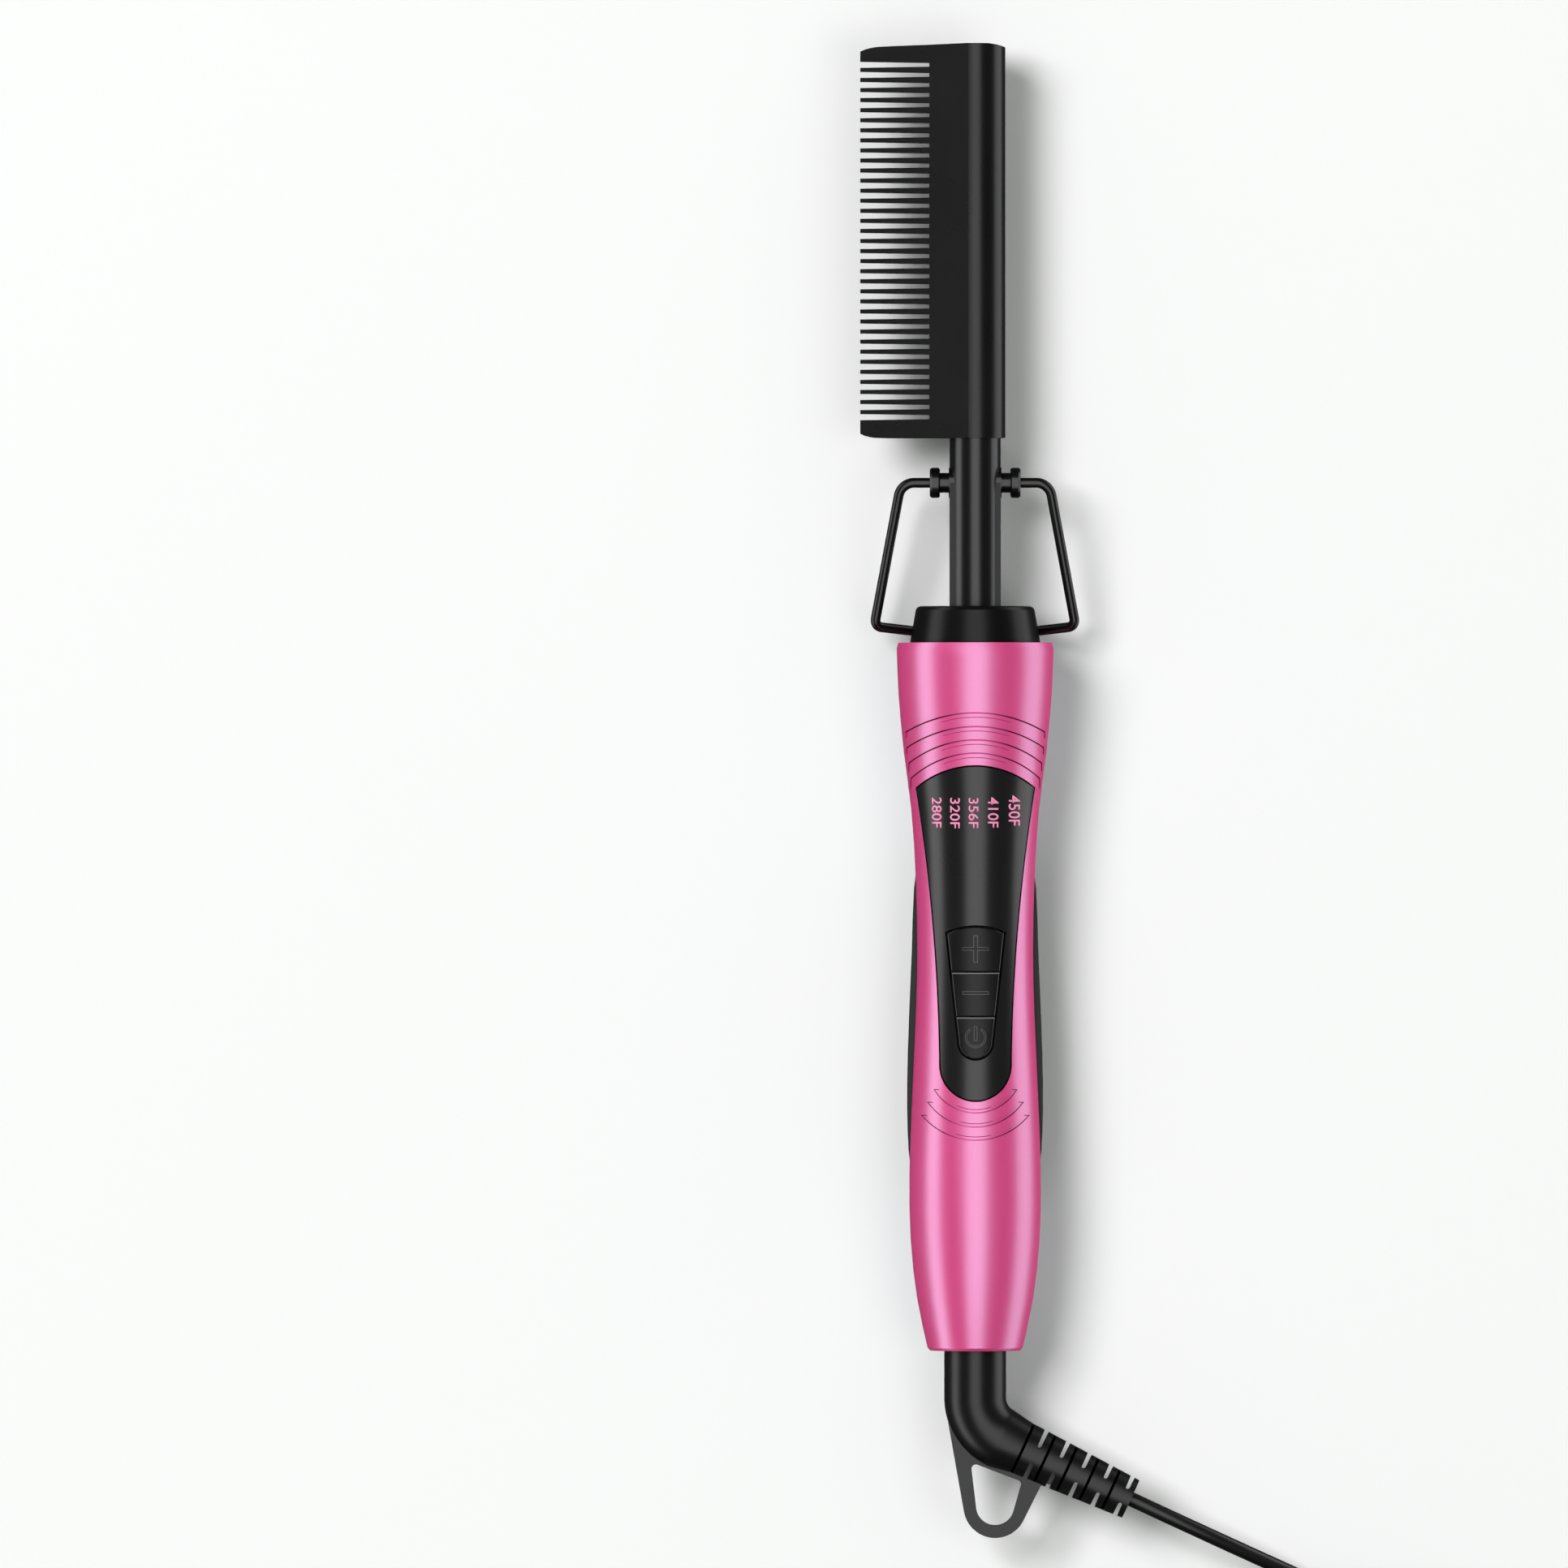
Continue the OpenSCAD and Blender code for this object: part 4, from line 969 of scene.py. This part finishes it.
def elbowSkin(p):
    # how far a point stands off the skin of elbow and strain relief, and the skin's normal there
    c = elbowSetup
    flat = Vector(((p.x - axisX) / mm, p.y / mm, (p.z - axisZ) / mm))
    hub = Vector((c["bendRadius"], c["bendFrom"], 0))
    end = hub - c["bendRadius"] * side
    past = (flat - end).dot(ahead)
    slack = c["slack"]
    radius, slope = c["radius"], 0
    if past > -slack:
        middle = end + ahead * past
        for (s0, r0, k0), (s1, r1, k1) in zip(c["relief"], c["relief"][1:]):
            if s0 - slack <= past <= s1 + slack:
                share = (past - s0) / (s1 - s0)
                radius, slope = r0 + (r1 - r0) * share, k0 + (k1 - k0) * share
                break
    elif flat.y < c["bendFrom"]:
        middle = hub + c["bendRadius"] * Vector((flat.x - hub.x, flat.y - hub.y, 0)).normalized()
    else:
        middle = Vector((0, flat.y, 0))
    outward = flat - middle
    return outward.length - radius, (outward.normalized() + ahead * slope).normalized()


def makeElbow():
    # bend, cone and relief are shaded as one form, with painted shade on the floors of the ring grooves
    c = elbowSetup
    elbow = workCopy("strain_relief", "swivelElbow")
    smooth(elbow, 35)
    mesh = elbow.data
    normals = [(0, 0, 0)] * len(mesh.loops)
    for face in mesh.polygons:
        if face.normal.dot(elbowSkin(face.center)[1]) > c["lean"]:
            for i in face.loop_indices:
                proud, normal = elbowSkin(mesh.vertices[mesh.loops[i].vertex_index].co)
                if abs(proud) < c["onSkin"]:
                    normals[i] = normal
    mesh.normals_split_custom_set(normals)
    paint(elbow, "reliefRubber", "gapShade")
    for face in mesh.polygons:
        inGroove = elbowSkin(face.center)[0] < -c["grooveDepth"] and face.normal.z > c["grooveFacing"]
        face.material_index = int(inGroove and face.center.z > axisZ + c["loopHalf"] * mm)
    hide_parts("strain_relief")
    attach(elbow, "swivel")


makeShell()
makePanel()
keys = {part: makeKey(part) for part in ("plus", "minus", "power")}
makeElbow()
makeWire()
makeScrews()
print("shell, keys, stand and screws ready")


scaleSetup = {
    "labels": ["280F", "320F", "356F", "410F", "450F"],
    "x": [-7.93, -4.22, -0.42, 3.6, 7.95],
    "top": [-1.35, -1.45, -1.45, -1.3, -0.95],
    "length": [6.25, 6.25, 6.2, 6.25, 6.2],
    "capHeight": [1.98, 2.0, 2.04, 2.17, 2.35],
    "weight": 0.01,
    "inkThickness": 0.05,
    "gap": 0.01,
}
above = 18  # height over the axis from which flat pieces are laid down


def layOn(piece, carrier, thickness, gap):
    # drapes a flat piece over a surface from above and gives it thickness
    with editing(piece):
        bpy.ops.mesh.quads_convert_to_tris()
        bpy.ops.mesh.subdivide(number_cuts=1)
    applied(piece, "SHRINKWRAP", target=carrier, wrap_method="PROJECT", use_project_z=True,
            use_negative_direction=True, use_positive_direction=False, offset=gap * mm)
    applied(piece, "SOLIDIFY", thickness=thickness * mm, offset=1.0)


def makeScale():
    c = scaleSetup
    labels = []
    for label, x, top, length, cap in zip(c["labels"], c["x"], c["top"], c["length"], c["capHeight"]):
        deselectAll()
        bpy.ops.object.text_add(location=(0, 0, 0))
        text = bpy.context.object
        text.data.body = label
        text.data.size = 1.0
        text.data.offset = c["weight"]
        text.data.resolution_u = 6
        bpy.ops.object.convert(target="MESH")
        piece = bpy.context.object
        xs = [v.co.x for v in piece.data.vertices]
        ys = [v.co.y for v in piece.data.vertices]
        sx = length * mm / (max(xs) - min(xs))
        sy = cap * mm / (max(ys) - min(ys))
        piece.scale = (sx, sy, 1)
        piece.rotation_euler = (0, 0, -math.pi / 2)
        piece.location = onAxis(x - cap / 2, top, above)
        piece.location.x -= min(ys) * sy
        piece.location.y += min(xs) * sx
        applyPlace(piece)
        labels.append(piece)
    scale = joinAll(labels, "scalePrint")
    with editing(scale):
        bpy.ops.mesh.remove_doubles(threshold=weld)
    layOn(scale, nodes["control_panel"], c["inkThickness"], c["gap"])
    paint(scale, "printInk")
    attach(scale, "handle")


makeScale()
print("scale ready")


signSetup = {
    "raise": 0.12,
    "line": 0.17,
    "plus": {"y": -32.38, "bar": 0.95, "beam": 0.75, "halfWidth": 2.7, "up": 2.78, "down": 2.82},
    "minus": {"y": -41.42, "beam": 0.75, "halfWidth": 2.7},
    "power": {"y": -50.5, "outer": 2.2, "inner": 1.72, "openHalfAngle": 33, "line": 0.14, "stem": 0.75,
              "stemTop": -48.2, "stemFoot": -51.3, "stemRound": 0.45},
}


def flatRectangle(name, x0, x1, y0, y1):
    deselectAll()
    bpy.ops.mesh.primitive_plane_add(size=1, location=onAxis((x0 + x1) / 2, (y0 + y1) / 2, above))
    piece = named(name)
    piece.scale = ((x1 - x0) * mm, (y1 - y0) * mm, 1)
    applyPlace(piece)
    return piece


def finishSign(piece, carrier, body, line=signSetup["line"]):
    # keeps only a line round the sign's edge, painted lighter as a highlight, and lays it on the key
    with editing(piece):
        bpy.ops.mesh.inset(thickness=line * mm, use_boundary=True)
        bpy.ops.mesh.delete(type="FACE")
    layOn(piece, carrier, signSetup["raise"], 0.0)
    with editing(piece):
        bpy.ops.mesh.remove_doubles(threshold=weld)
        bpy.ops.mesh.normals_make_consistent(inside=False)
    smooth(piece, 35)
    paint(piece, "dimEdgeHighlight")
    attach(piece, body)


def makePlus():
    c = signSetup["plus"]
    y, bar, beam = c["y"], c["bar"] / 2, c["beam"] / 2
    sign = flatRectangle("plusSign", -bar, bar, y - beam, y + beam)
    arms = (
        (lambda a, b: min(a.x, b.x) > axisX, (c["halfWidth"] - bar, 0)),
        (lambda a, b: max(a.x, b.x) < axisX, (bar - c["halfWidth"], 0)),
        (lambda a, b: min(a.y, b.y) > y * mm and abs(a.x - b.x) > bar * mm, (0, c["up"] - beam)),
        (lambda a, b: max(a.y, b.y) < y * mm and abs(a.x - b.x) > bar * mm, (0, beam - c["down"])),
    )

    def onMiddle(p):
        return abs(p.x - axisX) < bar * mm + weld and abs(p.y - y * mm) < beam * mm + weld

    for test, (dx, dy) in arms:
        with selecting(sign, "EDGE", lambda a, b: test(a, b) and onMiddle(a) and onMiddle(b)):
            bpy.ops.mesh.extrude_region_move(TRANSFORM_OT_translate={"value": (dx * mm, dy * mm, 0)})
    finishSign(sign, keys["plus"], "plus_key")


def makeMinus():
    c = signSetup["minus"]
    sign = flatRectangle("minusSign", -c["halfWidth"], c["halfWidth"], c["y"] - c["beam"] / 2,
                         c["y"] + c["beam"] / 2)
    finishSign(sign, keys["minus"], "minus_key")


def makePower():
    c = signSetup["power"]
    deselectAll()
    middle = onAxis(0, c["y"], above)
    bpy.ops.mesh.primitive_circle_add(vertices=72, radius=c["outer"] * mm, fill_type="NOTHING",
                                      location=middle)
    ring = named("powerRing")
    applyPlace(ring)
    shrink = c["inner"] / c["outer"]
    with editing(ring):
        bpy.ops.mesh.extrude_edges_move()
        bpy.ops.transform.resize(value=(shrink, shrink, 1), center_override=middle)

    def inOpening(p, n):
        return math.degrees(math.atan2(abs(p.x - middle.x), p.y - middle.y)) < c["openHalfAngle"]

    with selecting(ring, "FACE", inOpening):
        bpy.ops.mesh.delete(type="FACE")
    stem = flatRectangle("powerStem", -c["stem"] / 2, c["stem"] / 2, c["stemFoot"], c["stemTop"])
    applied(stem, "BEVEL", affect="VERTICES", width=c["stem"] * c["stemRound"] * mm, segments=5)
    sign = joinAll([ring, stem], "powerSign")
    finishSign(sign, keys["power"], "power_key", c["line"])


makePlus()
makeMinus()
makePower()
print("signs ready")


studio = {
    "floorSize": 8,
    "floorDrop": 0.0001,  # just under the part's feet
    "floorColor": (0.95, 0.95, 0.952),
    "background": (0.96, 0.96, 0.96),
    "fillColor": (0.95, 1.0, 0.94),
    "fillForDiffuse": 0.245,
    "fillForGlossy": 0.05,
    # strips that are only seen as reflections: where across the axis they stand, in degrees from straight up
    "strips": {
        "topStrip": {"from": -18, "to": 19, "distance": 2.0, "length": 3.2, "radiance": 2.25},
        "leftStrip": {"from": -94, "to": -66, "distance": 1.2, "length": 3.0, "radiance": 2.5},
        "rightStrip": {"from": 79, "to": 118, "distance": 1.2, "length": 3.0, "radiance": 1.8},
    },
    # soft boxes that light the floor and the colours but are not seen as reflections
    "boxes": {
        "keyBox": {"from": (-2.3, 1.5, 4.7), "size": 2.4, "radiance": 12.6},
        "fillBox": {"from": (1.9, -0.8, 5.0), "size": 2.7, "radiance": 2.0},
        "sideBox": {"from": (1.25, 0, -0.3), "size": 0.9, "radiance": 3.9},  # low, so it passes the floor by
    },
}


def makeFloor():
    deselectAll()
    bpy.ops.mesh.primitive_plane_add(size=studio["floorSize"], location=(0, 0, -studio["floorDrop"]))
    floor = named("floorSheet")
    applyPlace(floor)
    material = bpy.data.materials.new("floorPaper")
    material.use_nodes = True
    shader = material.node_tree.nodes["Principled BSDF"]
    shader.inputs["Base Color"].default_value = (*studio["floorColor"], 1)
    shader.inputs["Roughness"].default_value = 0.85
    shader.inputs["Specular IOR Level"].default_value = 0.0
    floor.data.materials.append(material)
    floor.visible_glossy = False  # reflections see only the strips and the dark room
    floor.visible_shadow = False


def backgroundNode(tree, color, strength):
    return addNode(tree, "ShaderNodeBackground", {"Color": color, "Strength": strength}).outputs[0]


def makeWorld():
    world = bpy.data.worlds.new("studioWorld")
    bpy.context.scene.world = world
    world.use_nodes = True
    tree = world.node_tree
    tree.nodes.clear()
    rays = addNode(tree, "ShaderNodeLightPath").outputs
    shown = backgroundNode(tree, studio["fillColor"], studio["fillForDiffuse"])
    for label, color, strength in (("Is Glossy Ray", (1, 1, 1), studio["fillForGlossy"]),
                                   ("Is Camera Ray", studio["background"], 1.0)):
        seen = backgroundNode(tree, color, strength)
        shown = addNode(tree, "ShaderNodeMixShader", {"Fac": rays[label], 1: shown, 2: seen}).outputs[0]
    addNode(tree, "ShaderNodeOutputWorld", {"Surface": shown})


def addLamp(name, place, target, size, radiance):
    deselectAll()
    bpy.ops.object.light_add(type="AREA", location=place)
    lamp = bpy.context.object
    lamp.name = name
    lamp.data.shape = "RECTANGLE"
    lamp.data.size, lamp.data.size_y = size
    lamp.data.energy = radiance * math.pi * size[0] * size[1]
    lamp.rotation_euler = (Vector(target) - Vector(place)).to_track_quat("-Z", "Y").to_euler()
    lamp.visible_camera = False
    return lamp


def makeLamps():
    for name, c in studio["strips"].items():
        middle = math.radians((c["from"] + c["to"]) / 2)
        across = 2 * c["distance"] * math.tan(math.radians((c["to"] - c["from"]) / 2))
        place = (axisX + c["distance"] * math.sin(middle), 0, axisZ + c["distance"] * math.cos(middle))
        lamp = addLamp(name, place, (axisX, 0, axisZ), (across, c["length"]), c["radiance"])
        lamp.rotation_euler = (0, middle, 0)
        lamp.visible_diffuse = False
    for name, c in studio["boxes"].items():
        lamp = addLamp(name, c["from"], (axisX, 0, 0), (c["size"], c["size"]), c["radiance"])
        lamp.visible_glossy = False


makeFloor()
makeWorld()
makeLamps()
bpy.context.scene.view_settings.view_transform = "Standard"
print("studio ready")
